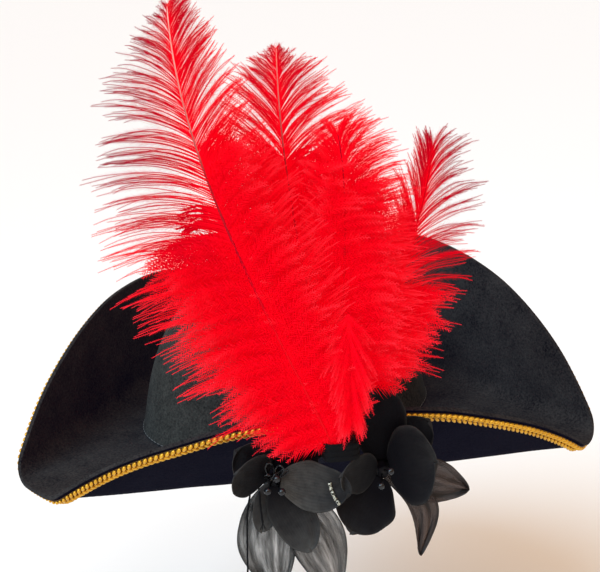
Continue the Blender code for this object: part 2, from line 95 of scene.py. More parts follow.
# %% Fields
class Field:
    """One output socket of a node; Python's operators on it add Math nodes to its graph."""

    def __init__(self, graph, socket):
        self.graph = graph
        self.socket = socket

    def is_vector(self):
        return self.socket.type == "VECTOR"

    def do(self, operation, *others):
        values = (self, *others)
        vector = any(isinstance(v, Field) and v.is_vector() for v in values)
        kind = "ShaderNodeVectorMath" if vector else "ShaderNodeMath"
        return self.graph.add(kind, values, operation=operation)

    def __add__(self, other):
        return self.do("ADD", other)

    def __sub__(self, other):
        return self.do("SUBTRACT", other)

    def __rsub__(self, other):
        return self * -1 + other

    def __mul__(self, other):
        if isinstance(other, Field) and other.is_vector() and not self.is_vector():
            return other * self
        by_number = self.is_vector() and not (isinstance(other, Field) and other.is_vector())
        return self.do("SCALE" if by_number else "MULTIPLY", other)

    def __truediv__(self, other):
        return self.do("DIVIDE", other)

    def __pow__(self, other):
        return self.do("POWER", other)

    __radd__ = __add__
    __rmul__ = __mul__


print("fields ready")

# %% Graphs
class Graph:
    """A node tree to which nodes are added one call at a time."""

    def __init__(self, tree):
        self.tree = tree

    def feed(self, socket, value):
        if isinstance(value, Field):
            self.tree.links.new(value.socket, socket)
        else:
            socket.default_value = value

    def add(self, kind, inputs=(), outputs=None, **settings):
        """Add a node, feed its inputs by name or in order, and return the outputs asked for."""
        node = self.tree.nodes.new(kind)
        for name, value in settings.items():
            setattr(node, name, value)
        usable = [socket for socket in node.inputs if socket.enabled]
        if isinstance(inputs, dict):
            for name, value in inputs.items():
                self.feed(next(socket for socket in usable if socket.name == name), value)
        else:
            for socket, value in zip(usable, inputs):
                self.feed(socket, value)
        found = {s.name: Field(self, s) for s in reversed(node.outputs) if s.enabled}
        if outputs:
            return [found[name] for name in outputs]
        return Field(self, next(s for s in node.outputs if s.enabled)) if found else node

    def random(self, low, high, key, seed):
        return self.add(
            "FunctionNodeRandomValue", {"Min": low, "Max": high, "ID": key, "Seed": seed}, data_type="FLOAT"
        )

    def join(self, shapes):
        whole = self.tree.nodes.new("GeometryNodeJoinGeometry")
        for shape in shapes:
            self.feed(whole.inputs[0], shape)
        return Field(self, whole.outputs[0])


print("graphs ready")

# %% [markdown]
# ## From a tree to a piece
# A tree that makes a shape has named inputs for its sizes, so one tree serves several pieces. It runs
# once on a starting mesh, and what it gives is kept as a plain mesh, because a hat that leaves Blender
# takes no trees along. Each finished piece then hangs on the body that it moves with.

# %% Trees for shapes, and pieces on their bodies
SOCKETS = {int: "NodeSocketInt", float: "NodeSocketFloat", bpy.types.Material: "NodeSocketMaterial"}


def shape_graph(name, sizes):
    """A geometry tree with a geometry input and named inputs for its sizes."""
    tree = bpy.data.node_groups.new(name, "GeometryNodeTree")
    tree.interface.new_socket("Geometry", in_out="OUTPUT", socket_type="NodeSocketGeometry")
    tree.interface.new_socket("Start", in_out="INPUT", socket_type="NodeSocketGeometry")
    for size, kind in sizes.items():
        tree.interface.new_socket(size, in_out="INPUT", socket_type=SOCKETS[kind])
    graph = Graph(tree)
    source = tree.nodes.new("NodeGroupInput")
    return graph, {socket.name: Field(graph, socket) for socket in source.outputs if socket.name}


def end_graph(graph, shape, material):
    """Finish a geometry tree: plain faces, one material, smooth shading."""
    real = graph.add("GeometryNodeRealizeInstances", {"Geometry": shape})
    coated = graph.add("GeometryNodeSetMaterial", {"Geometry": real, "Material": material})
    smooth = graph.add("GeometryNodeSetShadeSmooth", {"Geometry": coated})
    graph.feed(graph.tree.nodes.new("NodeGroupOutput").inputs[0], smooth)
    return graph.tree


def grow(name, start, tree, sizes, turn):
    """Run a geometry tree on a starting mesh and keep its result as a plain mesh in the hat's frame."""
    base = bpy.data.objects.new(name + "_start", start)
    modifier = base.modifiers.new("grow", "NODES")
    modifier.node_group = tree
    for item in tree.interface.items_tree:
        if item.in_out == "INPUT" and item.name in sizes:
            modifier[item.identifier] = sizes[item.name]
    scene.collection.objects.link(base)
    depsgraph = bpy.context.evaluated_depsgraph_get()
    mesh = bpy.data.meshes.new_from_object(
        base.evaluated_get(depsgraph), preserve_all_data_layers=True, depsgraph=depsgraph
    )
    bpy.data.objects.remove(base)
    return place_mesh(name, mesh, turn)


def place_mesh(name, mesh, turn=None, material=None):
    """Put a mesh into the scene as an object at the origin, with its place in its points."""
    if turn:
        mesh.transform(turn)
    if material:
        mesh.materials.append(material)
    mesh.name = name
    piece = bpy.data.objects.new(name, mesh)
    scene.collection.objects.link(piece)
    return piece


def seat(piece, body, slot, *nodes):
    """Hang a finished piece on its body and hide the solids it stands for; its slot is not used."""
    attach(piece, body)
    if nodes:
        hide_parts(*nodes)
    faces = sum(len(face.vertices) - 2 for face in piece.data.polygons)
    print(f"{piece.name}: {faces} triangles on {body}")


print("trees and pieces ready")

# %% [markdown]
# ## Tubes
# Shafts, stems, stalks and the tie cord are all tubes along a line. A swept tube needs a frame that
# turns as little as possible from point to point, or its section twists. Lobes that turn along the
# line make the plies of a twisted cord.

# %% Smooth routes and swept tubes
def smooth_route(points, spacing):
    """Points about one spacing apart on a smooth curve through a route's own points."""
    route = [Vector(p) for p in points]
    route = [2 * route[0] - route[1], *route, 2 * route[-1] - route[-2]]
    smooth = []
    for a, b, c, d in zip(route, route[1:], route[2:], route[3:]):
        count = max(2, round((c - b).length / spacing))
        for k in range(count):
            t = k / count
            bend = (2 * a - 5 * b + 4 * c - d) * t ** 2 + (3 * b - a - 3 * c + d) * t ** 3
            smooth.append(b + ((c - a) * t + bend) / 2)
    return [*smooth, route[-2]]


def length_of(line):
    return sum((b - a).length for a, b in zip(line, line[1:]))


def mesh_from(name, shape):
    """Turn an edit mesh into a mesh with smooth shading."""
    mesh = bpy.data.meshes.new(name)
    shape.to_mesh(mesh)
    shape.free()
    mesh.shade_smooth()
    return mesh


def joined(name, meshes):
    """Several meshes made one."""
    pool = bmesh.new()
    for mesh in meshes:
        pool.from_mesh(mesh)
    return mesh_from(name, pool)


def sweep(name, line, radius_at, sides, plies=0, lay=0.0, ply_depth=0.0):
    """A closed tube along a line; plies turn once every lay metres and stand ply_depth proud."""
    tube = bmesh.new()
    count = len(line)
    ahead = (line[1] - line[0]).normalized()
    across = ahead.orthogonal().normalized()
    rings = []
    run = 0.0
    for k, point in enumerate(line):
        new_ahead = (line[min(k + 1, count - 1)] - line[max(k - 1, 0)]).normalized()
        across = (ahead.rotation_difference(new_ahead) @ across).normalized()
        ahead = new_ahead
        over = ahead.cross(across)
        run += (point - line[k - 1]).length if k else 0.0
        ring = []
        for side in range(sides):
            angle = 2 * math.pi * side / sides
            ply = math.cos(plies * angle - 2 * math.pi * run / lay) if plies else 0.0
            radius = radius_at(k / (count - 1)) * (1 + ply_depth * (ply - 1))
            outwards = math.cos(angle) * across + math.sin(angle) * over
            ring.append(tube.verts.new(point + radius * outwards))
        rings.append(ring)
    for low, high in zip(rings, rings[1:]):
        for side in range(sides):
            nxt = (side + 1) % sides
            tube.faces.new((low[side], low[nxt], high[nxt], high[side]))
    tube.faces.new(rings[0][::-1])
    tube.faces.new(rings[-1])
    return mesh_from(name, tube)


print("tubes ready")

# %% [markdown]
# ## Finishes
# Every finish is built from nodes. A helper makes a Principled material and hands back its graph;
# values that are the same all over are set straight on the shader, and the rest comes from noise
# and waves on Object coordinates or on a piece's UV map, or from an attribute that the piece carries.

# %% Helpers for finishes
def start_finish(name, roughness, **constant):
    """A Principled material; constants are its shader's inputs, with underscores for spaces."""
    material = bpy.data.materials.new(name)
    material.use_nodes = True
    shader = material.node_tree.nodes["Principled BSDF"]
    shader.inputs["Roughness"].default_value = roughness
    for socket, value in constant.items():
        shader.inputs[socket.replace("_", " ")].default_value = value
    return material, Graph(material.node_tree), shader


def object_place(graph):
    return graph.add("ShaderNodeTexCoord", outputs=("Object",))[0]


def flat_place(graph):
    return graph.add("ShaderNodeUVMap", uv_map="flat")


def attribute_of(graph, name):
    return graph.add("ShaderNodeAttribute", outputs=("Fac",), attribute_name=name)[0]


def noise_of(graph, place, scale, detail, roughness=0.5):
    return graph.add(
        "ShaderNodeTexNoise",
        {"Vector": place, "Scale": scale, "Detail": detail, "Roughness": roughness},
    )


def wave_of(graph, place, scale, distortion):
    return graph.add(
        "ShaderNodeTexWave", {"Vector": place, "Scale": scale, "Distortion": distortion}, bands_direction="X"
    )


def kept_in_range(graph, value, factor):
    """A value times a factor, cut off at 0 and 1."""
    return graph.add("ShaderNodeMath", (value, factor), operation="MULTIPLY", use_clamp=True)


def blend_of(graph, amount, low, high, stops=()):
    """Colour that runs from low to high, by way of any stops, as amount goes from 0 to 1."""
    ramp = graph.add("ShaderNodeValToRGB", {"Fac": amount})
    elements = ramp.socket.node.color_ramp.elements
    elements[0].color = (*low, 1.0)
    elements[1].color = (*high, 1.0)
    for place, colour in stops:
        elements.new(place).color = (*colour, 1.0)
    return ramp


def dress(graph, shader, colour, relief, strength, depth):
    """Feed a shader's colour, and bump its surface by a relief."""
    bump = graph.add("ShaderNodeBump", {"Height": relief, "Strength": strength, "Distance": depth})
    graph.feed(shader.inputs["Base Color"], colour)
    graph.feed(shader.inputs["Normal"], bump)


print("finish helpers ready")

# %% [markdown]
# ### Felt, braid and ribbon
# Wool felt is matted fibre: almost no gloss, a faint bluish bloom at grazing angles, and a mottled
# surface. Two noises do it, a coarse one for the matting and a fine one for the fibres. The dye is
# a blue black, and a very faint painted blue glow keeps it from turning brown under the warm sky.
# One function makes three copies of the felt with painted light: painted dark as shaded on the brim's
# under face, painted lighter as lit on its upper face, and lighter still as lit on the crown. The
# braid is gold rayon thread, so its tone changes along each stitch.

# %% Felt and gold finishes
# Painted light: the felt glows a very faint blue, an emission that stands in for light on it.
PAINTED_GLOW_BLUE = (0.0, 0.0, 1.0, 1.0)
FELT_BLOOM = (0.8, 0.9, 1.0, 1.0)


def felt_finish(name, dark, light, bloom, painted_glow):
    material, graph, shader = start_finish(
        name, 0.95, Specular_IOR_Level=0.06, Sheen_Weight=bloom, Sheen_Roughness=0.35, Sheen_Tint=FELT_BLOOM,
        Emission_Color=PAINTED_GLOW_BLUE, Emission_Strength=painted_glow,
    )
    place = object_place(graph)
    matting = noise_of(graph, place, 40.0, 5.0, 0.65)
    fibres = noise_of(graph, place, 700.0, 4.0, 0.7)
    shade = (matting * 0.35 + fibres * 0.65 - 0.5) * 3.0 + 0.5
    dress(graph, shader, blend_of(graph, shade, dark, light), fibres + matting * 1.5, 0.55, 0.0006)
    return material


def gold_finish(name, dark, light):
    material, graph, shader = start_finish(name, 0.32, Metallic=0.55)
    place = object_place(graph)
    strands = noise_of(graph, place, 1600.0, 2.0)
    wear = noise_of(graph, place, 60.0, 3.0)
    tone = strands * 0.5 + wear * 0.5
    dress(graph, shader, blend_of(graph, tone, dark, light), strands, 0.5, 0.0004)
    return material


# Painted light: one felt in three copies, painted dark as shaded, painted lighter as lit, and lighter still
# as lit for the crown.
FELT_PAINTED_SHADED = felt_finish("felt_painted_shaded", (0.0001, 0.0001, 0.0022), (0.0048, 0.0045, 0.0090), 0.01, 0.0035)
FELT_PAINTED_LIT = felt_finish("felt_painted_lit", (0.0008, 0.0008, 0.0010), (0.0410, 0.0370, 0.0330), 0.03, 0.003)
FELT_PAINTED_LIT_CROWN = felt_finish("crown_felt_painted_lit", (0.0040, 0.0040, 0.0038), (0.0540, 0.0520, 0.0450), 0.05, 0.001)
GOLD = gold_finish("gold_thread", (0.32, 0.115, 0.004), (1.00, 0.56, 0.03))
# The braid's tape: gold painted dark, as painted shade between the stitches.
GOLD_TAPE_PAINTED_SHADE = gold_finish("gold_tape_painted_shade", (0.030, 0.009, 0.001), (0.120, 0.050, 0.004))
print("felt and gold finishes made")

# %% Ribbon, tape and thread finishes
def ribbon_finish():
    material, graph, shader = start_finish("black_ribbon", 0.55, Sheen_Weight=0.3)
    ribs = wave_of(graph, flat_place(graph), 140.0, 0.4)
    thread = noise_of(graph, object_place(graph), 900.0, 2.0)
    tone = ribs * 0.6 + thread * 0.4
    colour = blend_of(graph, tone, (0.006, 0.006, 0.007), (0.030, 0.029, 0.031))
    dress(graph, shader, colour, ribs, 0.5, 0.0004)
    return material


def tape_finish():
    material, graph, shader = start_finish("black_tape", 0.85, Specular_IOR_Level=0.12)
    crepe = noise_of(graph, object_place(graph), 700.0, 3.0, 0.7)
    colour = blend_of(graph, crepe, (0.0010, 0.0010, 0.0016), (0.0050, 0.0048, 0.0056))
    dress(graph, shader, colour, crepe, 0.6, 0.0004)
    return material


def thread_finish():
    material, graph, shader = start_finish("thread_painted_highlight", 0.7, Sheen_Weight=0.1)
    twist = noise_of(graph, object_place(graph), 1500.0, 2.0)
    colour = blend_of(graph, twist, (0.030, 0.030, 0.030), (0.110, 0.110, 0.105))
    dress(graph, shader, colour, twist, 0.4, 0.0002)
    return material


RIBBON_BLACK = ribbon_finish()
TAPE_BLACK = tape_finish()
# Pale grey thread for the crown seam: the stitches are real, and their pale grey paints the highlight along
# the crown's foot.
THREAD_PAINTED_HIGHLIGHT = thread_finish()
print("ribbon, tape and thread finishes made")

# %% [markdown]
# ### Plume, petal and bead finishes
# Dyed ostrich barbs are a saturated red. Low on a plume they get paler towards their tips, and high on
# it their tips are darkened with painted shade. The plume meshes carry two attributes for that: tip
# runs from 0 at the shaft to 1 at a barb's end, and rise grows towards the plume's top. Thin barbs let
# light through, and a painted glow in the dye's own colour stands in for it. Petal satin has a soft
# crumple, a fine weave and faint veins, with painted light and shade and a painted highlight on its
# rim. The long petals are organza, which is partly see-through, with painted light between its folds
# and painted shade in them. The glass strand's pale specks are painted glints.

# %% Plume and quill finishes
# Painted glow: barbs and quills emit in their own colours, standing in for light through them and lifting
# their shade.
BARB_GLOW = 0.36
HIGH_FROM = 0.40
DYE_STOPS = ((0.5, (0.78, 0.0, 0.009)),)
QUILL_GLOW = 0.15
QUILL_STOPS = (
    (0.34, (0.60, 0.0, 0.006)), (0.50, (0.32, 0.0, 0.010)),
    (0.66, (0.34, 0.01, 0.014)), (0.82, (0.66, 0.20, 0.17)),
)


def plume_finish():
    """Red dye, paler at the tips of the low barbs, with painted shade darkening the tips of the high ones.
    """
    material, graph, shader = start_finish(
        "red_barbs", 0.8, Specular_IOR_Level=0.05, Emission_Strength=BARB_GLOW
    )
    tip = attribute_of(graph, "tip")
    high = kept_in_range(graph, attribute_of(graph, "rise") - HIGH_FROM, 4.0)
    streak = noise_of(graph, object_place(graph), 120.0, 3.0)
    paling = tip ** 6.0 * 0.26 * (1.0 - high)
    # Painted shade: barb tips high on a plume are darkened, as thin barbs seen against the light.
    painted_tip_shade = tip * high * 0.45
    tone = paling - painted_tip_shade + streak * 0.18 + 0.40
    dye = blend_of(graph, tone, (0.20, 0.0, 0.014), (0.82, 0.040, 0.060), DYE_STOPS)
    graph.feed(shader.inputs["Base Color"], dye)
    graph.feed(shader.inputs["Emission Color"], dye)
    return material


def quill_finish():
    """A shaft dyed red at its foot and left pale at its tip, with a painted glow in the same colours."""
    material, graph, shader = start_finish(
        "pale_quill", 0.6, Specular_IOR_Level=0.1, Emission_Strength=QUILL_GLOW
    )
    grain = noise_of(graph, object_place(graph), 300.0, 2.0)
    tone = attribute_of(graph, "tip") * 0.95 + grain * 0.10
    dye = blend_of(graph, tone, (0.62, 0.0, 0.005), (0.84, 0.50, 0.42), QUILL_STOPS)
    graph.feed(shader.inputs["Emission Color"], dye)
    dress(graph, shader, dye, grain, 0.2, 0.0003)
    return material


BARB_RED = plume_finish()
QUILL_PALE = quill_finish()
print("plume and quill finishes made")

# %% Petal and bead finishes
SATIN_SHEEN = (0.9, 0.9, 0.85, 1.0)
GATHER_STRETCH = (5.0, 1.5, 1.0)
LOT_SHIFT = 7.3
DENSEST = 0.96


def petal_rim(graph, flat):
    """0 on a petal's face and 1 at its cut edge: organza is darker there, where the cloth is singed and
    doubled, and satin gets a painted highlight there.
    """
    across, along, _ = graph.add("ShaderNodeSeparateXYZ", (flat,), outputs=("X", "Y", "Z"))
    return (across * 2.0 - 1.0).do("ABSOLUTE").do("MAXIMUM", along) ** 14.0


def satin_finish(name, dark, light):
    """Ironed cloth: a soft crumple, faint veins and a fine weave, a painted highlight on the rim, and
    painted light and shade from root to tip.
    """
    material, graph, shader = start_finish(
        name, 0.6, Specular_IOR_Level=0.07, Sheen_Weight=0.02, Sheen_Roughness=0.35, Sheen_Tint=SATIN_SHEEN
    )
    flat = flat_place(graph)
    weave = wave_of(graph, flat, 70.0, 1.0)
    veins = wave_of(graph, flat, 5.0, 2.5)
    crumple = noise_of(graph, object_place(graph), 160.0, 4.0, 0.6)
    cloth = crumple * 0.88 + veins * 0.08 + weave * 0.04
    # Painted light: the shade attribute paints each petal lit or shaded, and the rim gets a painted
    # highlight.
    tone = cloth * (petal_rim(graph, flat) * 0.30 + attribute_of(graph, "shade"))
    relief = crumple + veins * 0.08 + weave * 0.05
    dress(graph, shader, blend_of(graph, tone, dark, light), relief, 0.45, 0.0008)
    return material


def organza_finish(name, dark, light, thinness):
    """Sheer cloth gathered in lengthwise folds: dense in a fold and thin between two, with painted shade
    darkening a fold and painted light brightening the thin cloth between two.
    """
    material, graph, shader = start_finish(name, 0.5, Specular_IOR_Level=0.25)
    flat = flat_place(graph)
    lot = graph.add("ShaderNodeCombineXYZ", (attribute_of(graph, "lot") * LOT_SHIFT, 0.0, 0.0))
    stretched = graph.add("ShaderNodeVectorMath", (flat, GATHER_STRETCH), operation="MULTIPLY")
    gathers = noise_of(graph, stretched + lot, 1.0, 3.0, 0.6)
    spread = kept_in_range(graph, gathers - 0.36, 3.2)
    rim = petal_rim(graph, flat)
    # Painted light: the thin cloth between folds is painted lighter and a fold painted darker, and the shade
    # attribute paints each petal lit or shaded.
    tone = spread * attribute_of(graph, "shade") * (1.0 - rim * 0.85)
    graph.feed(shader.inputs["Alpha"], spread * (rim - 1.0) * thinness + DENSEST)
    dress(graph, shader, blend_of(graph, tone, dark, light), gathers, 0.6, 0.002)
    return material


def bead_finish(name, dark, light):
    """Glass or lacquer: glossy, with specks in it; where the light colour is pale, the specks are painted
    glints.
    """
    material, graph, shader = start_finish(name, 0.12, Specular_IOR_Level=0.35)
    speckle_and_glints = noise_of(graph, object_place(graph), 900.0, 2.0)
    graph.feed(shader.inputs["Base Color"], blend_of(graph, (speckle_and_glints - 0.42) * 5.0, dark, light))
    graph.feed(shader.inputs["Roughness"], speckle_and_glints * 0.12 + 0.04)
    return material


PETAL_SATIN = satin_finish("petal_satin", (0.0012, 0.0012, 0.0030), (0.110, 0.104, 0.094))
PETAL_ORGANZA = organza_finish("petal_organza", (0.003, 0.003, 0.0035), (0.160, 0.156, 0.145), 0.66)
PETAL_SMOKE = organza_finish("petal_smoke", (0.010, 0.007, 0.006), (0.085, 0.050, 0.040), 0.22)
BEAD_BLACK = bead_finish("black_bead", (0.004, 0.004, 0.005), (0.015, 0.015, 0.017))
# The glass strand's pale specks are painted glints.
GLASS_PAINTED_GLINTS = bead_finish("glass_painted_glints", (0.002, 0.002, 0.002), (0.50, 0.48, 0.38))
print("petal and bead finishes made")

# %% [markdown]
# ## Tie cord
# A thin twisted cord is knotted beside the left flower and its tail hangs free. It is limp, so it
# leaves the knot, falls over the petals and then hangs straight down. Its route is the solid's
# route, point by point, and the tube has three plies that turn round each other.

# %% Tie cord, its knot and the frayed short end
CORD_RADIUS = 0.0006
CORD_LAY = 0.0045
CORD_PLIES = 3
PLY_DEPTH = 0.10
CORD_SPACING = 0.0006
CORD_ROUTE = (
    (-0.0372, -0.1803, 0.0272),
    (-0.0410, -0.1880, 0.0225),
    (-0.0440, -0.1945, 0.0120),
    (-0.0452, -0.1970, 0.0),
    (-0.0460, -0.1975, -0.0140),
    (-0.0466, -0.1975, -0.0280),
    (-0.0468, -0.1975, -0.0380),
)
SHORT_END = (
    (-0.0360, -0.1803, 0.0272),
    (-0.0362, -0.1885, 0.0232),
    (-0.0364, -0.1945, 0.0150),
    (-0.0360, -0.1965, 0.0070),
)
FRAY_YARNS = 7
FRAY_SPREAD = 0.0018
FRAY_FLATNESS = 0.6
FRAY_RADIUS = 0.00016
FRAY_ROUTE = ((-0.1, 0.001), (0.3, -0.0015), (1.0, -0.004))
FRAY_SPACING = 0.0008
KNOT_PLACE = Vector((-0.0366, -0.1780, 0.0290))
KNOT_SIZE = 0.00052
KNOT_POINTS = 96


def cord_tube(name, line, sides=12):
    return sweep(name, line, lambda s: CORD_RADIUS, sides, CORD_PLIES, CORD_LAY, PLY_DEPTH)


def knot_line():
    """Trefoil knot round the knot's centre."""
    line = []
    for k in range(KNOT_POINTS + 1):
        a = 2 * math.pi * k / KNOT_POINTS
        across = math.sin(a) + 2 * math.sin(2 * a)
        up = math.cos(a) - 2 * math.cos(2 * a)
        line.append(KNOT_PLACE + KNOT_SIZE * Vector((across, -math.sin(3 * a), up)))
    return line


def frayed_end():
    """The short end of the cord, its last millimetres undone into single yarns."""
    line = smooth_route(SHORT_END, CORD_SPACING)
    strands = [cord_tube("short_end", line)]
    for k in range(FRAY_YARNS):
        angle = 2 * math.pi * k / FRAY_YARNS
        out = Vector((math.cos(angle), FRAY_FLATNESS * math.sin(angle), 0.0)) * FRAY_SPREAD
        route = [line[-1] + share * out + Vector((0.0, 0.0, rise)) for share, rise in FRAY_ROUTE]
        strands.append(sweep("yarn", smooth_route(route, FRAY_SPACING), lambda s: FRAY_RADIUS, 5))
    return joined("short_end", strands)


cord_line = smooth_route(CORD_ROUTE, CORD_SPACING)
cord_length = length_of(cord_line)
cord = place_mesh("tie_cord_tail", cord_tube("cord", cord_line), TRIM, TAPE_BLACK)
knot = place_mesh("tie_cord_knot", cord_tube("knot", knot_line(), 10), TRIM, TAPE_BLACK)
short_end = place_mesh("tie_cord_short_end", frayed_end(), TRIM, TAPE_BLACK)
seat(short_end, "hat", "tape")
seat(cord, "hat", "tape", "tie_cord")
seat(knot, "hat", "tape", "tie_knot")
TRIM @ cord_line[0]
[TRIM @ p for p in cord_line]
print("tie cord:", round(cord_length * 1000, 1), "mm")

# %% [markdown]
# ## Cloth from grids
# Felt, ribbon, tape and petals are all sheets. Each starts as a flat grid, a rule moves its points
# into place, and edges that meet are sewn. A modifier then gives felt and petals their thickness, and
# ribbon and tape get theirs from the rule itself.

# %% Grids that a rule bends
SEWN_WITHIN = 1e-6
SHARP_EDGE = math.radians(60)


def mapped_grid(name, columns, rows, shape):
    """A grid of faces moved into place by shape(u, v), with a UV map; edges that meet are sewn."""
    grid = bmesh.new()
    bmesh.ops.create_grid(grid, x_segments=columns, y_segments=rows, size=0.5)
    flat = grid.loops.layers.uv.new("flat")
    for face in grid.faces:
        for loop in face.loops:
            loop[flat].uv = (loop.vert.co.x + 0.5, loop.vert.co.y + 0.5)
    for corner in grid.verts:
        corner.co = shape(corner.co.x + 0.5, corner.co.y + 0.5)
    bmesh.ops.remove_doubles(grid, verts=grid.verts, dist=SEWN_WITHIN)
    return mesh_from(name, grid)


def thicken(piece, thickness, offset, rounding=0.0):
    """Give a sheet its thickness with a modifier, and soften its edges with another."""
    shell = piece.modifiers.new("cloth", "SOLIDIFY")
    shell.thickness = thickness
    shell.offset = offset
    shell.use_even_offset = True
    if rounding:
        edge = piece.modifiers.new("soft_edge", "BEVEL")
        edge.width = rounding
        edge.segments = 2
        edge.limit_method = "ANGLE"
        edge.angle_limit = SHARP_EDGE
    return piece


print("grids ready")

# %% [markdown]
# ## Crown
# The crown is felt blocked over a wooden form: a short cone up to the shoulder and then a dome. The
# solid has flat facets, so the crown is made again from the same rule with many more rows, and a
# low noise gives it the slight unevenness of hand-blocked felt. The noise gets a fixed seed, because
# otherwise the clock chooses one and each run gives another hat.

# %% Crown of blocked felt
FELT = 0.0025
FELT_ROUNDING = 0.0008
HEAD_HALF_WIDTH = 0.080
HEAD_HALF_LENGTH = 0.098
CROWN_HEIGHT = 0.106
CROWN_TAPER = math.radians(13)
SHOULDER_HEIGHT = 0.030
CROWN_SEAT = 0.0034
CROWN_GROWTH = 0.00733
CONE_SHARE = 0.3
DOME_PROFILE = ((1.0, SHOULDER_HEIGHT), (0.90, 0.070), (0.70, CROWN_HEIGHT), (0.0, CROWN_HEIGHT))
UNEVEN = 0.0007
UNEVEN_SCALE = 28.0
UNEVEN_SEED = 7


def bezier(points, t):
    weights = ((1 - t) ** 3, 3 * t * (1 - t) ** 2, 3 * t * t * (1 - t), t ** 3)
    return Vector([sum(w * p[axis] for w, p in zip(weights, points)) for axis in range(len(points[0]))])


def oval(turn, growth, height, shrink=1.0):
    """Point on the head's oval, grown outwards and drawn in by the crown's taper at its height."""
    growth -= min(height, SHOULDER_HEIGHT) * math.tan(CROWN_TAPER)
    angle = 2 * math.pi * turn
    width = (HEAD_HALF_WIDTH + growth) * shrink
    length = (HEAD_HALF_LENGTH + growth) * shrink
    return Vector((width * math.cos(angle), length * math.sin(angle), height))


def uneven(place):
    """Felt never lies quite true: a slow noise moves each point a little."""
    return place + noise.noise_vector(place * UNEVEN_SCALE) * UNEVEN


def crown_point(u, v):
    """Up the cone to the shoulder, then over the dome to its pole."""
    if v < CONE_SHARE:
        height = CROWN_SEAT + (SHOULDER_HEIGHT - CROWN_SEAT) * v / CONE_SHARE
        return uneven(oval(u, CROWN_GROWTH, height))
    shrink, height = bezier(DOME_PROFILE, (v - CONE_SHARE) / (1 - CONE_SHARE))
    return uneven(oval(u % 1.0, CROWN_GROWTH, height, shrink))


noise.seed_set(UNEVEN_SEED)
# The crown wears the felt copy painted lighter as lit.
crown = place_mesh("crown_felt", mapped_grid("crown", 180, 60, crown_point), None, FELT_PAINTED_LIT_CROWN)
thicken(crown, FELT, -1, FELT_ROUNDING)
seat(crown, "hat", "felt", "crown")

# %% [markdown]
# ## Brim
# The brim starts as a flat disc of felt. Its three sides are folded up along slightly bowed lines,
# which leaves the three corners. A fold rolls the felt round a small radius and then carries it on
# straight, so a point's height follows from how far past the fold line it lies. The grid is the
# under face, which the folds turn outwards and which wears felt painted dark as shaded; the other
# face comes from the thickness and wears felt painted lighter as lit.

# %% Folded brim
RIM_RADIUS = 0.208
RIM_SETBACK = 0.010
COLLAR_GROWTH = 0.0016
COLLAR_HEIGHT = 0.013
COLLAR_SHARE = 0.04
UNEVEN_FROM = 0.25
FLAPS = {
    "left": (math.radians(-30), 0.118, math.radians(48)),
    "back": (math.radians(90), 0.107, math.radians(86)),
    "right": (math.radians(210), 0.108, math.radians(93)),
}
FOLD_RADIUS = 0.014
FOLD_BOW = 0.005
FOLD_BOW_SPAN = 0.180
CORNER_DIRECTION = math.radians(-90)
CORNER_CROWDING = 0.6


def folded(flat):
    """Where a point of the flat felt disc lies once the three flaps are folded up."""
    place = Vector((flat.x, flat.y, 0.0))
    for direction, distance, angle in FLAPS.values():
        outwards = Vector((math.cos(direction), math.sin(direction)))
        sideways = outwards.x * flat.y - outwards.y * flat.x
        past = flat.dot(outwards) - distance + FOLD_BOW * (sideways / FOLD_BOW_SPAN) ** 2
        if past <= 0:
            continue
        bend = min(past / FOLD_RADIUS, angle)
        straight = past - FOLD_RADIUS * bend
        reach = FOLD_RADIUS * math.sin(bend) + straight * math.cos(bend)
        place.xy += (reach - past) * outwards
        place.z += FOLD_RADIUS * (1 - math.cos(bend)) + straight * math.sin(bend)
    return place


def crowded(u):
    """Turn fraction with the steps drawn together at the three corners, where the felt bends most."""
    from_corner = 3 * (2 * math.pi * u - CORNER_DIRECTION)
    return u - CORNER_CROWDING * math.sin(from_corner) / (6 * math.pi)


def on_disc(u, inset):
    angle = 2 * math.pi * crowded(u)
    radius = RIM_RADIUS - inset
    return Vector((radius * math.cos(angle), RIM_SETBACK + radius * math.sin(angle)))


def brim_point(u, v):
    """Under face of the brim: down the collar, then out over the felt to the edge."""
    u %= 1.0
    if v < COLLAR_SHARE:
        return oval(crowded(u), COLLAR_GROWTH, COLLAR_HEIGHT * (1 - v / COLLAR_SHARE))
    inner = oval(crowded(u), COLLAR_GROWTH, 0.0).xy
    share = (v - COLLAR_SHARE) / (1 - COLLAR_SHARE)
    place = folded(inner.lerp(on_disc(u, 0.0), share))
    return place.lerp(uneven(place), min(1.0, share / UNEVEN_FROM))


# The under face wears felt painted dark as shaded, and the upper face felt painted lighter as lit.
brim = place_mesh("brim_felt", mapped_grid("brim", 300, 64, brim_point), None, FELT_PAINTED_SHADED)
brim.data.materials.append(FELT_PAINTED_LIT)
brim_shell = thicken(brim, FELT, -1, FELT_ROUNDING).modifiers["cloth"]
brim_shell.material_offset = 1
brim_shell.material_offset_rim = 1
seat(brim, "hat", "felt", "brim")

# %% [markdown]
# ## Gold braid
# The edge is trimmed with a gimp braid: two rows of slanted oval stitches that meet as chevrons.
# It repeats along a path, so Geometry Nodes set the ovals out: the path carries the felt's outward
# direction as an attribute, and each oval is turned to it. A flat tape under them joins the rows; its
# gold is painted dark, as painted shade between the stitches.

# %% Path along the brim's edge
BRAID_INSET = 0.005
PATH_STEPS = 720
PROBE = 0.0005


def braid_frame(u, inset):
    """Place on the flap's face, as uneven as the felt, and its outward normal."""
    outwards = folded(on_disc(u, inset - PROBE)) - folded(on_disc(u, inset + PROBE))
    ahead = folded(on_disc(u + PROBE, inset)) - folded(on_disc(u - PROBE, inset))
    return uneven(folded(on_disc(u, inset))), ahead.cross(outwards).normalized()


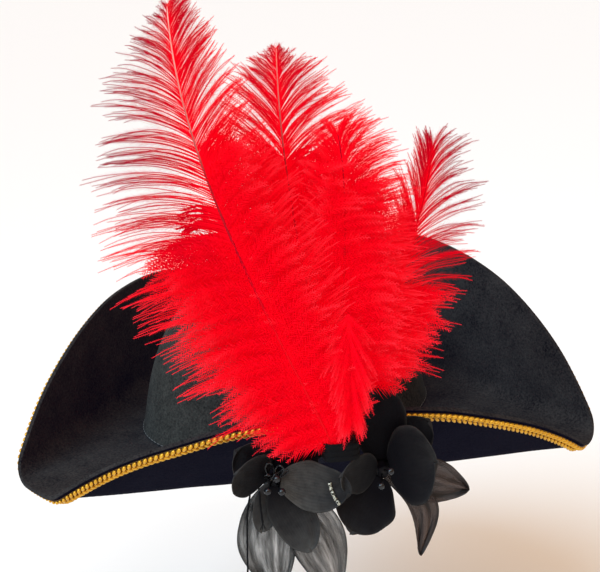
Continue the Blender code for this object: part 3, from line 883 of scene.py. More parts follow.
def ring_path(name, frame_at, steps=PATH_STEPS):
    """A closed line whose points carry the outward direction of what it lies on."""
    path = bpy.data.meshes.new(name)
    frames = [frame_at(k / steps) for k in range(steps)]
    ring = [(k, (k + 1) % steps) for k in range(steps)]
    path.from_pydata([place for place, _ in frames], ring, [])
    face = path.attributes.new("face", "FLOAT_VECTOR", "POINT")
    for k, (_, normal) in enumerate(frames):
        face.data[k].vector = normal
    return path, sum((frames[a][0] - frames[b][0]).length for a, b in ring)


path, edge_length = ring_path("braid_path", lambda u: braid_frame(u, BRAID_INSET))
print("edge length:", round(edge_length * 1000), "mm")

# %% Two rows of oval stitches
BRAID_WIDTH = 0.007
BRAID_PITCH = 0.0037
BRAID_LIFT = 0.0006
GIMP_LIFT = 0.0009
GIMP_SLANT = math.radians(38)
GIMP_SHIFT = 0.25
GIMP_HALF = (0.66, 0.33, 0.38)


def path_points(graph, size):
    """Points for stitches along the starting path, the way ahead there and the way it faces."""
    path = graph.add("GeometryNodeMeshToCurve", {"Mesh": size["Start"]})
    points, ahead = graph.add(
        "GeometryNodeCurveToPoints", {"Curve": path, "Count": size["Stitches"]},
        outputs=("Points", "Tangent"), mode="COUNT",
    )
    face = graph.add("GeometryNodeInputNamedAttribute", {"Name": "face"}, data_type="FLOAT_VECTOR")
    return points, ahead, face


def set_out(graph, stitch, points, shift, ahead, face, half):
    """A stitch with some half sizes on each shifted point, turned to run ahead and face outwards."""
    moved = graph.add("GeometryNodeSetPosition", {"Geometry": points, "Offset": shift})
    turn = graph.add(
        "FunctionNodeAxesToRotation", {"Primary Axis": ahead, "Secondary Axis": face},
        primary_axis="X", secondary_axis="Z",
    )
    scale = graph.add("ShaderNodeCombineXYZ", half)
    return graph.add(
        "GeometryNodeInstanceOnPoints",
        {"Points": moved, "Instance": stitch, "Rotation": turn, "Scale": scale},
    )


def braid_tree():
    graph, size = shape_graph("gimp_braid", {
        "Stitches": int, "Width": float, "Pitch": float, "Slant": float, "Lift": float,
        "Thread": bpy.types.Material,
    })
    points, ahead, face = path_points(graph, size)
    across = face.do("CROSS_PRODUCT", ahead)
    oval_stitch = graph.add("GeometryNodeMeshUVSphere", {"Segments": 10, "Rings": 6, "Radius": 1.0})
    half = [size["Pitch"] * share for share in GIMP_HALF]
    rows = []
    for row in (-1.0, 1.0):
        aside = across * (size["Width"] * (GIMP_SHIFT * row))
        forth = ahead * (size["Pitch"] * (GIMP_SHIFT * row))
        lean = ahead * size["Slant"].do("COSINE") + across * (size["Slant"].do("SINE") * row)
        shift = aside + forth + face * size["Lift"]
        rows.append(set_out(graph, oval_stitch, points, shift, lean, face, half))
    return end_graph(graph, graph.join(rows), size["Thread"])


braid_sizes = {
    "Stitches": round(edge_length / BRAID_PITCH), "Width": BRAID_WIDTH, "Pitch": BRAID_PITCH,
    "Slant": GIMP_SLANT, "Lift": BRAID_LIFT + GIMP_LIFT, "Thread": GOLD,
}
braid = grow("gold_braid", path, braid_tree(), braid_sizes, None)
seat(braid, "hat", "gold_braid", "edge_braid")
print("stitches a row:", braid_sizes["Stitches"])

# %% Tape under the braid
TAPE_SECTION = ((-1, 0), (-1, 1), (1, 1), (1, 0))
TAPE_HALF_WIDTH = 0.0031
TAPE_THICKNESS = 0.0006


def tape_point(u, v):
    across, high = TAPE_SECTION[round(v * len(TAPE_SECTION)) % len(TAPE_SECTION)]
    place, normal = braid_frame(u % 1.0, BRAID_INSET - across * TAPE_HALF_WIDTH)
    return place + normal * (BRAID_LIFT / 2 + high * TAPE_THICKNESS)


# The tape's dark gold is painted shade between the stitches.
tape = place_mesh("braid_tape", mapped_grid("tape", 480, len(TAPE_SECTION), tape_point), None, GOLD_TAPE_PAINTED_SHADE)
seat(tape, "hat", "gold_braid")

# %% [markdown]
# ## Sweatband and seams
# A grosgrain ribbon is sewn round the inside of the head opening, so that the wool doesn't scratch. It
# is stretched tight, so it is the head's oval with the ribbon's thickness, and its ribs come from the
# finish. Two rows of stitches hold it, and a third row sews the crown's foot to the brim: each row is
# a closed path, and Geometry Nodes set stitches along it.

# %% Grosgrain sweatband
BAND_THICKNESS = 0.001
BAND_BOTTOM = 0.001
BAND_TOP = 0.028
BAND_FACE_ROWS = 12


def band_point(u, v):
    """Up the ribbon's outer face, over its top and down its inner face."""
    row = round(v * 2 * BAND_FACE_ROWS) % (2 * BAND_FACE_ROWS)
    outer = row < BAND_FACE_ROWS
    share = (row if outer else 2 * BAND_FACE_ROWS - 1 - row) / (BAND_FACE_ROWS - 1)
    height = BAND_BOTTOM + (BAND_TOP - BAND_BOTTOM) * share
    return oval(u % 1.0, BAND_THICKNESS if outer else 0.0, height)


ribbon = mapped_grid("band", 240, 2 * BAND_FACE_ROWS, band_point)
band = place_mesh("sweatband_ribbon", ribbon, None, RIBBON_BLACK)
seat(band, "hat", "ribbon", "sweatband")


def around(growth, height, facing):
    """Frames round the head's oval at one height; facing is 1 outwards and -1 inwards."""
    def frame_at(u):
        place = oval(u, growth, height)
        return place, Vector((place.x, place.y, 0.0)).normalized() * facing
    return frame_at


_, band_length = ring_path("band_path", around(0.0, (BAND_TOP + BAND_BOTTOM) / 2, -1))
print("sweatband:", round(band_length * 1000), "mm round")

# %% Rows of stitches
STITCH_RADIUS = 0.00032
STITCH_PITCH = 0.0046
STITCH_SHARE = 0.86
SEAM_LIFT = 0.0006
SEAM_INSET = 0.002
STITCH_ROWS = {
    # The crown seam's pale grey thread is a painted highlight along the crown's foot.
    "crown_seam": (CROWN_GROWTH, CROWN_SEAT + SEAM_LIFT, 1, THREAD_PAINTED_HIGHLIGHT),
    "band_top_seam": (0.0, BAND_TOP - SEAM_INSET, -1, TAPE_BLACK),
    "band_foot_seam": (0.0, BAND_BOTTOM + SEAM_INSET, -1, TAPE_BLACK),
}


def stitch_tree():
    graph, size = shape_graph("stitch_row", {
        "Stitches": int, "Length": float, "Radius": float, "Lift": float, "Thread": bpy.types.Material,
    })
    points, ahead, face = path_points(graph, size)
    stitch = graph.add("GeometryNodeMeshUVSphere", {"Segments": 8, "Rings": 6, "Radius": 1.0})
    half = (size["Length"] * 0.5, size["Radius"], size["Radius"])
    row = set_out(graph, stitch, points, face * size["Lift"], ahead, face, half)
    return end_graph(graph, row, size["Thread"])


STITCH_ROW = stitch_tree()
for name, (growth, height, facing, thread) in STITCH_ROWS.items():
    path, run = ring_path(name, around(growth, height, facing))
    stitch_sizes = {
        "Stitches": round(run / STITCH_PITCH), "Length": STITCH_PITCH * STITCH_SHARE,
        "Radius": STITCH_RADIUS, "Lift": STITCH_RADIUS / 2, "Thread": thread,
    }
    seat(grow(name, path, STITCH_ROW, stitch_sizes, None), "hat", "tape")

# %% [markdown]
# ## Plumes
# An ostrich plume is a shaft with soft barbs on both sides, and each barb carries its own fringe of
# barbules, which is why the plume looks fluffy. Barbs stick together in small clumps towards their
# tips. Drawing hundreds of barbs by hand is out of the question, so one tree makes one side of a
# plume: it spreads barbs along the shaft, bends each one outwards along an arc, gathers clumps, and
# sets barbules along every barb. The same tree makes the left and right side and the loose down.

# %% Middle lines of the barbs on one side
FACING = (0.0, -1.0, 0.0)
BARB_POINTS = 11
TIP_TAPER = 0.7
TIP_TAPER_POWER = 12.0
FOOT_TAPER = 0.6
FOOT_TAPER_POWER = 7.0
FOOT_TURN_POWER = 8.0
BARB_LENGTHS = (0.78, 1.08)
CLUMP_LENGTHS = (0.86, 1.08)
CLUMP_CURLS = (0.7, 1.3)
CLUMP_LEANS = (-0.10, 0.10)
BARB_LEANS = (-0.05, 0.05)
BARB_DEPTHS = (-1.0, 1.0)
WAVE_RATE = 9.0
WAVE_STARTS = (0.0, 6.28)
WAVE_SIZE = 0.0007


def sample_shaft(graph, shaft, share):
    """Place and direction at a share of the shaft's length."""
    return graph.add(
        "GeometryNodeSampleCurve", {"Curves": shaft, "Factor": share},
        outputs=("Position", "Tangent"), use_all_curves=True,
    )


def barb_lines(graph, size):
    """The barbs' middle lines, and how far out along its barb each of their points lies."""
    seed = size["Seed"]
    shaft = graph.add("GeometryNodeMeshToCurve", {"Mesh": size["Start"]})
    unit = graph.add("GeometryNodeCurvePrimitiveLine", {"End": (1.0, 0.0, 0.0)})
    line = graph.add("GeometryNodeResampleCurve", {"Curve": unit, "Count": BARB_POINTS})
    strands, number = graph.add(
        "GeometryNodeDuplicateElements", {"Geometry": line, "Amount": size["Barbs"]},
        outputs=("Geometry", "Duplicate Index"), domain="SPLINE",
    )
    out = graph.add("GeometryNodeSplineParameter")
    clump = (number / size["Clump"]).do("FLOOR")
    run = size["Last"] - size["First"]
    along = size["First"] + run * ((number + graph.random(0.0, 1.0, number, seed)) / size["Barbs"])
    clump_along = size["First"] + run * ((clump + 0.5) * size["Clump"] / size["Barbs"])
    root, ahead = sample_shaft(graph, shaft, along)
    clump_root, _ = sample_shaft(graph, shaft, clump_along)
    across = ahead.do("CROSS_PRODUCT", FACING).do("NORMALIZE") * size["Side"]

    taper = 1.0 - along ** size["Fall power"] * size["Fall"]
    tip_taper = 1.0 - along ** TIP_TAPER_POWER * TIP_TAPER
    foot_taper = 1.0 - (1.0 - along) ** FOOT_TAPER_POWER * FOOT_TAPER
    vary = graph.random(*BARB_LENGTHS, number, seed + 1) * graph.random(*CLUMP_LENGTHS, clump, seed + 2)
    length = size["Length"] * (taper * tip_taper * foot_taper) * vary
    middle = size["Middle angle"] + size["Foot turn"] * (1.0 - along) ** FOOT_TURN_POWER
    middle = middle - size["Tip turn"] * along ** size["Tip power"]
    turn = size["Curl"] * graph.random(*CLUMP_CURLS, clump, seed + 3)
    start = middle - turn * 0.5 + graph.random(*CLUMP_LEANS, clump, seed + 4)
    start = start + graph.random(*BARB_LEANS, number, seed + 5)
    bearing = start + turn * out
    scale = length / turn
    forth = (bearing.do("SINE") - start.do("SINE")) * scale
    aside = (start.do("COSINE") - bearing.do("COSINE")) * scale

    depth = length * out * (size["Spread"] * graph.random(*BARB_DEPTHS, number, seed + 6))
    sag = length * out * out * size["Droop"]
    phase = out * WAVE_RATE + graph.random(*WAVE_STARTS, number, seed + 7)
    wave = phase.do("SINE") * out * WAVE_SIZE
    gathered = (clump_root - root) * (out * out * size["Gather"])
    place = root + ahead * (forth + wave) + across * aside + gathered
    fall = graph.add("ShaderNodeCombineXYZ", (0.0, depth * -1.0, sag * -1.0))
    strands = graph.add("GeometryNodeSetPosition", {"Geometry": strands, "Position": place + fall})
    for name, value in (("tip", out), ("rise", along * size["Rise"])):
        strands = graph.add(
            "GeometryNodeStoreNamedAttribute", {"Geometry": strands, "Name": name, "Value": value}
        )
    return strands, out


print("points a barb:", BARB_POINTS)

# %% Barbules, and the tree that grows one side of a plume
BARB_THINNING = 0.55
FRINGE_LIFTS = (-0.7, 0.7)
FRINGE_AHEAD = 0.75
FRINGE_ASIDE = (0.5, 0.9)
FRINGE_LENGTHS = (0.6, 1.1)
FRINGE_SWELL = 0.80
FRINGE_SWELL_START = 0.14


def barb_fringe(graph, size, strands):
    """Barbules set along the barbs, by turns on one side and the other."""
    seed = size["Seed"]
    points, ahead = graph.add(
        "GeometryNodeCurveToPoints", {"Curve": strands, "Length": size["Fringe step"]},
        outputs=("Points", "Tangent"), mode="LENGTH",
    )
    index = graph.add("GeometryNodeInputIndex")
    tip = graph.add("GeometryNodeInputNamedAttribute", {"Name": "tip"}, data_type="FLOAT")
    hand = index.do("MODULO", 2.0) * 2.0 - 1.0
    beside = ahead.do("CROSS_PRODUCT", FACING).do("NORMALIZE") * hand
    lift = graph.add("ShaderNodeCombineXYZ", (0.0, graph.random(*FRINGE_LIFTS, index, seed + 8), 0.0))
    way = ahead * FRINGE_AHEAD + beside * graph.random(*FRINGE_ASIDE, index, seed + 9) + lift
    turned = graph.add("FunctionNodeAlignRotationToVector", {"Vector": way}, axis="Z")
    swell = ((tip * FRINGE_SWELL + FRINGE_SWELL_START) * math.pi).do("SINE")
    full = size["Fringe length"] * swell * graph.random(*FRINGE_LENGTHS, index, seed + 10)
    stretch = graph.add("ShaderNodeCombineXYZ", (size["Fringe radius"], size["Fringe radius"], full))
    needle = graph.add("GeometryNodeMeshCone", {"Vertices": 3, "Radius Bottom": 1.0, "Depth": 1.0})
    return graph.add(
        "GeometryNodeInstanceOnPoints",
        {"Points": points, "Instance": needle, "Rotation": turned, "Scale": stretch},
    )


def barb_tree():
    graph, size = shape_graph("plume_side", {
        "Barbs": int, "Side": float, "First": float, "Last": float,
        "Length": float, "Fall": float, "Fall power": float,
        "Middle angle": float, "Foot turn": float, "Tip turn": float, "Tip power": float, "Curl": float,
        "Droop": float, "Spread": float, "Clump": float, "Gather": float, "Rise": float,
        "Barb radius": float, "Fringe step": float, "Fringe length": float, "Fringe radius": float,
        "Seed": int, "Finish": bpy.types.Material,
    })
    strands, out = barb_lines(graph, size)
    ring = graph.add("GeometryNodeCurvePrimitiveCircle", {"Resolution": 3, "Radius": 1.0})
    thin = size["Barb radius"] * (1.0 - out * BARB_THINNING)
    barbs = graph.add(
        "GeometryNodeCurveToMesh",
        {"Curve": strands, "Profile Curve": ring, "Scale": thin, "Fill Caps": True},
    )
    return end_graph(graph, graph.join((barbs, barb_fringe(graph, size, strands))), size["Finish"])


PLUME_SIDE = barb_tree()
print("plume tree nodes:", len(PLUME_SIDE.nodes))

# %% [markdown]
# ### Four plumes
# The shafts are the solids' own curves. The tall plume stands in front and sweeps to the left, with
# barbs that arc over and droop; the others stand behind it, two nearly upright and one leaning to the
# right. Each side of a plume has three layers: long barbs in clumps, loose down near the shaft, and a
# few thick matted barbs just behind, which close the gaps as a real plume's crowded barbs do.

# %% Sizes of the four plumes
PIVOT_HEIGHT = 0.048
QUILL_RADIUS = 0.0011
QUILL_FOOT = 0.006
SHAFT_TIP = 0.3
PLUME_BOW = 0.008
PLUME_BOW_SPAN = 0.240
QUILL_PALENESS = (1.0, 0.85, 0.5, 0.4)
SIDES = {"left": -1.0, "right": 1.0}
SIDE_NAMES = ("Length", "Fall", "Fall power", "Middle angle", "Foot turn", "Tip turn", "Tip power", "Curl")
# rise sets how strongly painted shade darkens the barb tips high on each side.
PLUMES = {
    "plume_1": {
        "hold": (0.006, -0.203),
        "shaft": ((-0.025, 0.065), (-0.073, 0.160), (-0.072, 0.244)),
        "bare": {"left": 0.03, "right": 0.03},
        "down": {"left": 0.50, "right": 0.66},
        "matted": {"left": (0.030, 0.58), "right": (0.036, 0.70)},
        "rise": {"left": 1.0, "right": 0.6},
        "gather": {"left": 0.85, "right": 0.45},
        "spacing": {"left": 1.35, "right": 1.0},
        "left": (0.079, 0.80, 3.0, 57, 12, 30, 6.0, 30),
        "right": (0.068, 0.50, 2.0, 60, 0, 32, 2.5, 12),
    },
    "plume_2": {
        "hold": (0.0085, -0.191),
        "shaft": ((-0.006, 0.070), (-0.022, 0.140), (-0.020, 0.218)),
        "bare": {"left": 0.03, "right": 0.12},
        "down": {"left": 0.72, "right": 0.68},
        "matted": {"left": (0.024, 0.70), "right": (0.036, 0.72)},
        "rise": {"left": 0.6, "right": 0.6},
        "gather": {"left": 0.30, "right": 0.55},
        "spacing": {"left": 1.0, "right": 1.0},
        "left": (0.064, 0.78, 5.0, 37, 16, 4, 3.0, 8),
        "right": (0.082, 0.84, 3.5, 68, -43, 42, 3.0, 20),
    },
    "plume_3": {
        "hold": (0.010, -0.197),
        "shaft": ((0.003, 0.065), (0.015, 0.130), (0.008, 0.172)),
        "bare": {"left": 0.03, "right": 0.24},
        "down": {"left": 0.80, "right": 0.80},
        "matted": {"left": (0.026, 0.80), "right": (0.030, 0.80)},
        "rise": {"left": 0.3, "right": 0.3},
        "gather": {"left": 0.70, "right": 0.65},
        "spacing": {"left": 1.0, "right": 1.0},
        "left": (0.045, 0.20, 1.0, 45, 40, 22, 3.0, 15),
        "right": (0.052, 0.15, 1.0, 72, -40, 45, 3.0, 30),
    },
    "plume_4": {
        "hold": (0.013, -0.185),
        "shaft": ((0.014, 0.052), (0.050, 0.098), (0.058, 0.158)),
        "bare": {"left": 0.03, "right": 0.19},
        "down": {"left": 0.72, "right": 0.50},
        "matted": {"left": (0.020, 0.45), "right": (0.020, 0.42)},
        "rise": {"left": 0.65, "right": 0.9},
        "gather": {"left": 0.65, "right": 0.50},
        "spacing": {"left": 1.1, "right": 1.9},
        "left": (0.046, 0.10, 1.0, 32, 20, 14, 3.0, 10),
        "right": (0.050, 0.10, 1.0, 60, -20, 42, 2.0, 25),
    },
}
ANGLES = ("Middle angle", "Foot turn", "Tip turn", "Curl")


def side_sizes(values):
    """One side's sizes by name, with its angles in radians."""
    sizes = dict(zip(SIDE_NAMES, values))
    return {name: math.radians(x) if name in ANGLES else x for name, x in sizes.items()}


def shaft_line(plume, steps=40):
    """Points of a shaft in the trim frame, from just below its hold to its tip."""
    curve = ((0.0, 0.0), *plume["shaft"])
    line = []
    for k in range(steps + 1):
        x, z = bezier(curve, k / steps)
        y = PLUME_BOW * math.sin(math.pi * z / PLUME_BOW_SPAN)
        line.append(Vector((plume["hold"][0] + x, plume["hold"][1] + y, PIVOT_HEIGHT + z)))
    foot = line[0] - (line[1] - line[0]).normalized() * QUILL_FOOT
    return [foot, *line]


print("plume shafts:", [round(length_of(shaft_line(plume)) * 1000) for plume in PLUMES.values()], "mm")

# %% Four plumes on their holds
BARB_STEP = 0.0006
BARB_LAYER = {
    "Last": 1.0, "Droop": 0.16, "Spread": 0.16, "Clump": 6.0, "Barb radius": 0.00030,
    "Fringe step": 0.0006, "Fringe length": 0.0042, "Fringe radius": 0.00010, "Finish": BARB_RED,
}
DOWN_STEP = 0.0010
DOWN_LENGTH = 0.70
DOWN_CURL = 0.3
DOWN_LAYER = {
    "Droop": 0.20, "Spread": 0.45, "Clump": 1.0, "Gather": 0.0, "Barb radius": 0.00020,
    "Fringe step": 0.0009, "Fringe length": 0.0085, "Fringe radius": 0.00030,
}
MATTED_STEP = 0.0016
MATTED_BACK = Matrix.Translation((0.0, 0.0026, 0.0))
MATTED_LAYER = {"Spread": 0.08, "Barb radius": 0.0012, "Fringe step": 0.0030}
PLUME_SEED = 100
SIDE_SEEDS = {"left": 50, "right": 10}
DOWN_SEED = 20
MATTED_SEED = 5


def line_mesh(name, line):
    mesh = bpy.data.meshes.new(name)
    mesh.from_pydata(line, [(k, k + 1) for k in range(len(line) - 1)], [])
    return mesh


def mark_tip(piece, line, paleness):
    """Store how far up its line each point of a tube lies, for the finish to follow."""
    tip = piece.data.attributes.new("tip", "FLOAT", "POINT")
    low, high = (TRIM @ line[0]).z, (TRIM @ line[-1]).z
    for k, vertex in enumerate(piece.data.vertices):
        tip.data[k].value = paleness * (vertex.co.z - low) / (high - low)


for order, (name, plume) in enumerate(PLUMES.items()):
    line = shaft_line(plume)
    run = length_of(line)
    shaft = sweep(name, line, lambda s: QUILL_RADIUS * (1 + (SHAFT_TIP - 1) * s), 10)
    quill = place_mesh(name + "_quill", shaft, TRIM, QUILL_PALE)
    mark_tip(quill, line, QUILL_PALENESS[order])
    seat(quill, name, "quill", name + "_shaft")
    for side, sign in SIDES.items():
        sizes = {
            **side_sizes(plume[side]), **BARB_LAYER, "Side": sign, "First": plume["bare"][side],
            "Barbs": round(run / (BARB_STEP * plume["spacing"][side])),
            "Gather": plume["gather"][side], "Rise": plume["rise"][side],
            "Seed": PLUME_SEED * order + SIDE_SEEDS[side],
        }
        barbs = grow(f"{name}_{side}_barbs", line_mesh(name, line), PLUME_SIDE, sizes, TRIM)
        seat(barbs, name, "plume", *([name + "_vane"] if side == "left" else []))
        sizes |= {
            **DOWN_LAYER, "Barbs": round(run / DOWN_STEP), "Last": plume["down"][side],
            "Length": DOWN_LENGTH * sizes["Length"], "Curl": sizes["Curl"] + DOWN_CURL,
            "Seed": sizes["Seed"] + DOWN_SEED,
        }
        down = grow(f"{name}_{side}_down", line_mesh(name, line), PLUME_SIDE, sizes, TRIM)
        seat(down, name, "plume")
        length, last = plume["matted"][side]
        sizes |= {
            **MATTED_LAYER, "Barbs": round(run * last / MATTED_STEP), "Last": last, "Length": length,
            "Seed": sizes["Seed"] + MATTED_SEED,
        }
        matted = grow(f"{name}_{side}_matted", line_mesh(name, line), PLUME_SIDE, sizes, TRIM @ MATTED_BACK)
        seat(matted, name, "plume")

# %% [markdown]
# ### The hanging tuft
# In front of the wrap a tuft of down hangs from the third plume and hides where the quills meet. The
# same tree grows it, on a short line that runs downwards, so its barbs point down too.

# %% Tuft in front of the wrap
TUFT_TOP = Vector((0.0165, -0.2060, 0.126))
TUFT_BOTTOM = Vector((0.0145, -0.2140, 0.076))
TUFT_STEPS = 12
TUFT_SIDE = (0.036, 0.25, 1.0, 15, 30, 6, 2.0, 8)
TUFT_LAYER = {
    "Barbs": 130, "First": 0.0, "Last": 1.0, "Droop": 0.05, "Spread": 0.22, "Clump": 5.0, "Gather": 0.6,
    "Rise": 0.0, "Barb radius": 0.00026, "Fringe step": 0.0007, "Fringe length": 0.0050,
    "Fringe radius": 0.00014, "Finish": BARB_RED,
}
TUFT_SEED = 700

tuft_line = [TUFT_TOP.lerp(TUFT_BOTTOM, k / TUFT_STEPS) for k in range(TUFT_STEPS + 1)]
for side, sign in SIDES.items():
    sizes = {**side_sizes(TUFT_SIDE), **TUFT_LAYER, "Side": sign, "Seed": TUFT_SEED + SIDE_SEEDS[side]}
    tuft = grow(f"plume_3_{side}_tuft", line_mesh("tuft", tuft_line), PLUME_SIDE, sizes, TRIM)
    seat(tuft, "plume_3", "plume")

# %% [markdown]
# ## Wrap and pad
# The quills and the flowers' wire stems are bound with stretchy black tape, wound in a spiral so that
# each turn laps over the one below. The tape's ledges come from one sawtooth that climbs as it goes
# round. A wedge of felt-covered foam between the flap and the wrap brings the corsage upright.

# %% Tape wrap round the quills
WRAP_CENTRE = (0.0095, -0.1927)
WRAP_HALF = (0.0088, 0.0133)
WRAP_WALL = 0.0012
WRAP_HEIGHT = 0.010
WRAP_SQUARENESS = 5
TAPE_TURNS = 3
TAPE_LEDGE = 0.0006
WRAP_OUTER_ROWS = 30
WRAP_ROWS = 36


def wrap_point(u, v):
    """Up the taped outer face, over the rim and down the plain inner face."""
    row = round(v * WRAP_ROWS) % WRAP_ROWS
    angle = 2 * math.pi * u
    if row < WRAP_OUTER_ROWS:
        height = row / (WRAP_OUTER_ROWS - 1)
        grow_by = WRAP_WALL + TAPE_LEDGE * ((TAPE_TURNS * height - u) % 1.0)
    else:
        height = (WRAP_ROWS - 1 - row) / (WRAP_ROWS - 1 - WRAP_OUTER_ROWS)
        grow_by = 0.0
    power = 2 / WRAP_SQUARENESS
    cosine, sine = math.cos(angle), math.sin(angle)
    x = WRAP_CENTRE[0] + (WRAP_HALF[0] + grow_by) * math.copysign(abs(cosine) ** power, cosine)
    y = WRAP_CENTRE[1] + (WRAP_HALF[1] + grow_by) * math.copysign(abs(sine) ** power, sine)
    return Vector((x, y, PIVOT_HEIGHT + WRAP_HEIGHT * (height - 0.5)))


wrap = place_mesh("wrap_tape", mapped_grid("wrap", 120, WRAP_ROWS, wrap_point), TRIM, TAPE_BLACK)
seat(wrap, "hat", "tape", "plume_wrap")

# %% Felt-covered wedge behind the wrap
PAD_BOTTOM = 0.016
PAD_TOP = 0.050
PAD_HALF_WIDTH = 0.017
PAD_ROUNDING = 0.003
PAD_CLEAR = 0.0008
FLAP_CLEAR = 0.0006


def flap_face(height):
    """Depth of the left flap's outer face in the trim frame, on its straight part, at a height."""
    _, distance, angle = FLAPS["left"]
    straight = (height - FOLD_RADIUS * (1 - math.cos(angle))) / math.sin(angle)
    return -(distance + FOLD_RADIUS * math.sin(angle) + straight * math.cos(angle))


def wedge_mesh():
    """A block between the flap and the wrap, its edges rounded."""
    front = WRAP_CENTRE[1] + WRAP_HALF[1] + WRAP_WALL + TAPE_LEDGE + FLAP_CLEAR
    outline = (
        (flap_face(PAD_BOTTOM) - PAD_CLEAR, PAD_BOTTOM),
        (flap_face(PAD_TOP) - PAD_CLEAR, PAD_TOP),
        (front, PAD_TOP),
        (front, PIVOT_HEIGHT - WRAP_HEIGHT / 2),
        (flap_face(PAD_BOTTOM) - FELT, PAD_BOTTOM),
    )
    wedge = bmesh.new()
    left = WRAP_CENTRE[0] - PAD_HALF_WIDTH
    end = wedge.faces.new([wedge.verts.new((left, depth, height)) for depth, height in outline])
    side = bmesh.ops.extrude_face_region(wedge, geom=[end])["geom"]
    moved = [corner for corner in side if isinstance(corner, bmesh.types.BMVert)]
    bmesh.ops.translate(wedge, verts=moved, vec=(2 * PAD_HALF_WIDTH, 0.0, 0.0))
    bmesh.ops.bevel(
        wedge, geom=wedge.edges[:], offset=PAD_ROUNDING, segments=4, affect="EDGES",
        clamp_overlap=True, profile=0.5,
    )
    bmesh.ops.dissolve_degenerate(wedge, dist=SEWN_WITHIN, edges=wedge.edges[:])
    bmesh.ops.recalc_face_normals(wedge, faces=wedge.faces)
    return mesh_from("wedge", wedge)


pad = place_mesh("trim_pad", wedge_mesh(), TRIM, FELT_PAINTED_SHADED)
seat(pad, "hat", "felt", "trim_backing")

# %% [markdown]
# ## Cloth flowers
# Each flower has a fluted calyx and a core of rolled cloth, wired to the wrap by a taped stem. Its
# calyx and core are one profile turned about an axis, fluted into sepals, and its stem is a tube whose
# single ply is the edge of the tape. A petal is written as its direction in degrees, its length and
# width, its lean in degrees and how far it bows sideways, and the petals lie on each other in order.

# %% Sizes of the two flowers
FLOWERS = {
    "left_flower": {
        "heart": (-0.028, -0.181, 0.030),
        "stem": ((0.005, -0.1815, 0.052), (0.004, -0.1815, 0.040), (-0.010, -0.177, 0.032)),
        "petals": (
            (35, 0.026, 0.030, 3, 0.0), (138, 0.022, 0.026, 4, 0.0), (-92, 0.066, 0.034, 4, -0.004),
            (-66, 0.074, 0.032, 5, 0.005), (-106, 0.027, 0.016, 10, 0.0), (-66, 0.042, 0.026, 14, 0.0),
            (150, 0.030, 0.028, 42, 0.0), (-8, 0.040, 0.030, 22, 0.0),
        ),
        "stamens": ((80, 22), (200, 20), (320, 16)),
    },
    "right_flower": {
        "heart": (0.034, -0.181, 0.028),
        "stem": ((0.014, -0.1815, 0.052), (0.015, -0.1815, 0.040), (0.021, -0.177, 0.031)),
        "petals": (
            (40, 0.034, 0.030, 0, 0.0), (88, 0.045, 0.030, 1, 0.0), (-20, 0.048, 0.026, 1, 0.0),
            (-70, 0.052, 0.016, 3, 0.013), (8, 0.027, 0.050, 15, 0.0), (-126, 0.035, 0.038, 20, 0.0),
            (167, 0.029, 0.025, 36, 0.0),
        ),
        "stamens": ((60, 20), (230, 22)),
    },
}
print("petals:", {name: len(flower["petals"]) for name, flower in FLOWERS.items()})

# %% Calyx, core and wire stem of each flower
CALYX_PROFILE = ((0.0082, 0.006), (0.0060, 0.0035), (0.0026, 0.0), (0.0, 0.0))
CORE_RADIUS = 0.0034
CORE_TOP_SHARE = 0.9
CORE_ROUNDING = 0.0006
PETAL_STEP = 0.0014
STEM_RADIUS = 0.0011
STEM_SPACING = 0.001
STEM_CLEAR = 0.0006
STEM_LEAD = 0.004
STEM_LAY = 0.004
STEM_LEDGE = 0.08
FACING_OUT = Matrix.Rotation(math.radians(90), 4, "X")
SEPALS = 5
SEPAL_DEPTH = 0.08


def lathe_mesh(name, profile, columns, flutes=0, flute_depth=0.0):
    """A profile of (radius, height) turned about Z, its radius fluted round the turn."""
    rows = len(profile) - 1

    def lathe_point(u, v):
        radius, height = profile[round(v * rows)]
        angle = 2 * math.pi * u
        radius *= 1 + flute_depth * math.cos(flutes * angle)
        return Vector((radius * math.cos(angle), radius * math.sin(angle), height))

    return mapped_grid(name, columns, rows, lathe_point)


def core_length(flower):
    return (len(flower["petals"]) + 1) * PETAL_STEP


for name, flower in FLOWERS.items():
    length = CALYX_PROFILE[0][1]
    top = length + core_length(flower)
    core = (
        (0.0, top), (CORE_RADIUS * CORE_TOP_SHARE, top),
        (CORE_RADIUS, top - CORE_ROUNDING), (CORE_RADIUS, length),
    )
    foot = Vector(flower["heart"]) + Vector((0.0, length, 0.0))
    turn = TRIM @ Matrix.Translation(foot) @ FACING_OUT
    outline = (*core, *CALYX_PROFILE)[::-1]
    calyx = place_mesh(name + "_cup", lathe_mesh(name, outline, 40, SEPALS, SEPAL_DEPTH), turn, PETAL_SATIN)
    seat(calyx, "hat", "petal", name + "_calyx")
    stem_end = foot + Vector((0.0, STEM_CLEAR, 0.0))
    route = smooth_route([*flower["stem"], stem_end + Vector((0.0, STEM_LEAD, 0.0)), stem_end], STEM_SPACING)
    wire = sweep(name, route, lambda s: STEM_RADIUS, 12, 1, STEM_LAY, STEM_LEDGE)
    stem = place_mesh(name + "_wire", wire, TRIM, TAPE_BLACK)
    seat(stem, "hat", "tape", name + "_stem")

# %% [markdown]
# ### Petals
# Petals are cut from black satin and organza. Satin petals are short and round, dished by a hot iron,
# with an edge that ripples where the cloth was stretched; organza petals are long and narrow, hang in
# pleats and let light through. A petal is a flat grid that one rule bends into shape, and then it gets
# the thickness of cloth. Two attributes go to the finish: shade darkens or lightens a petal from root
# to tip, and lot varies the gathers.

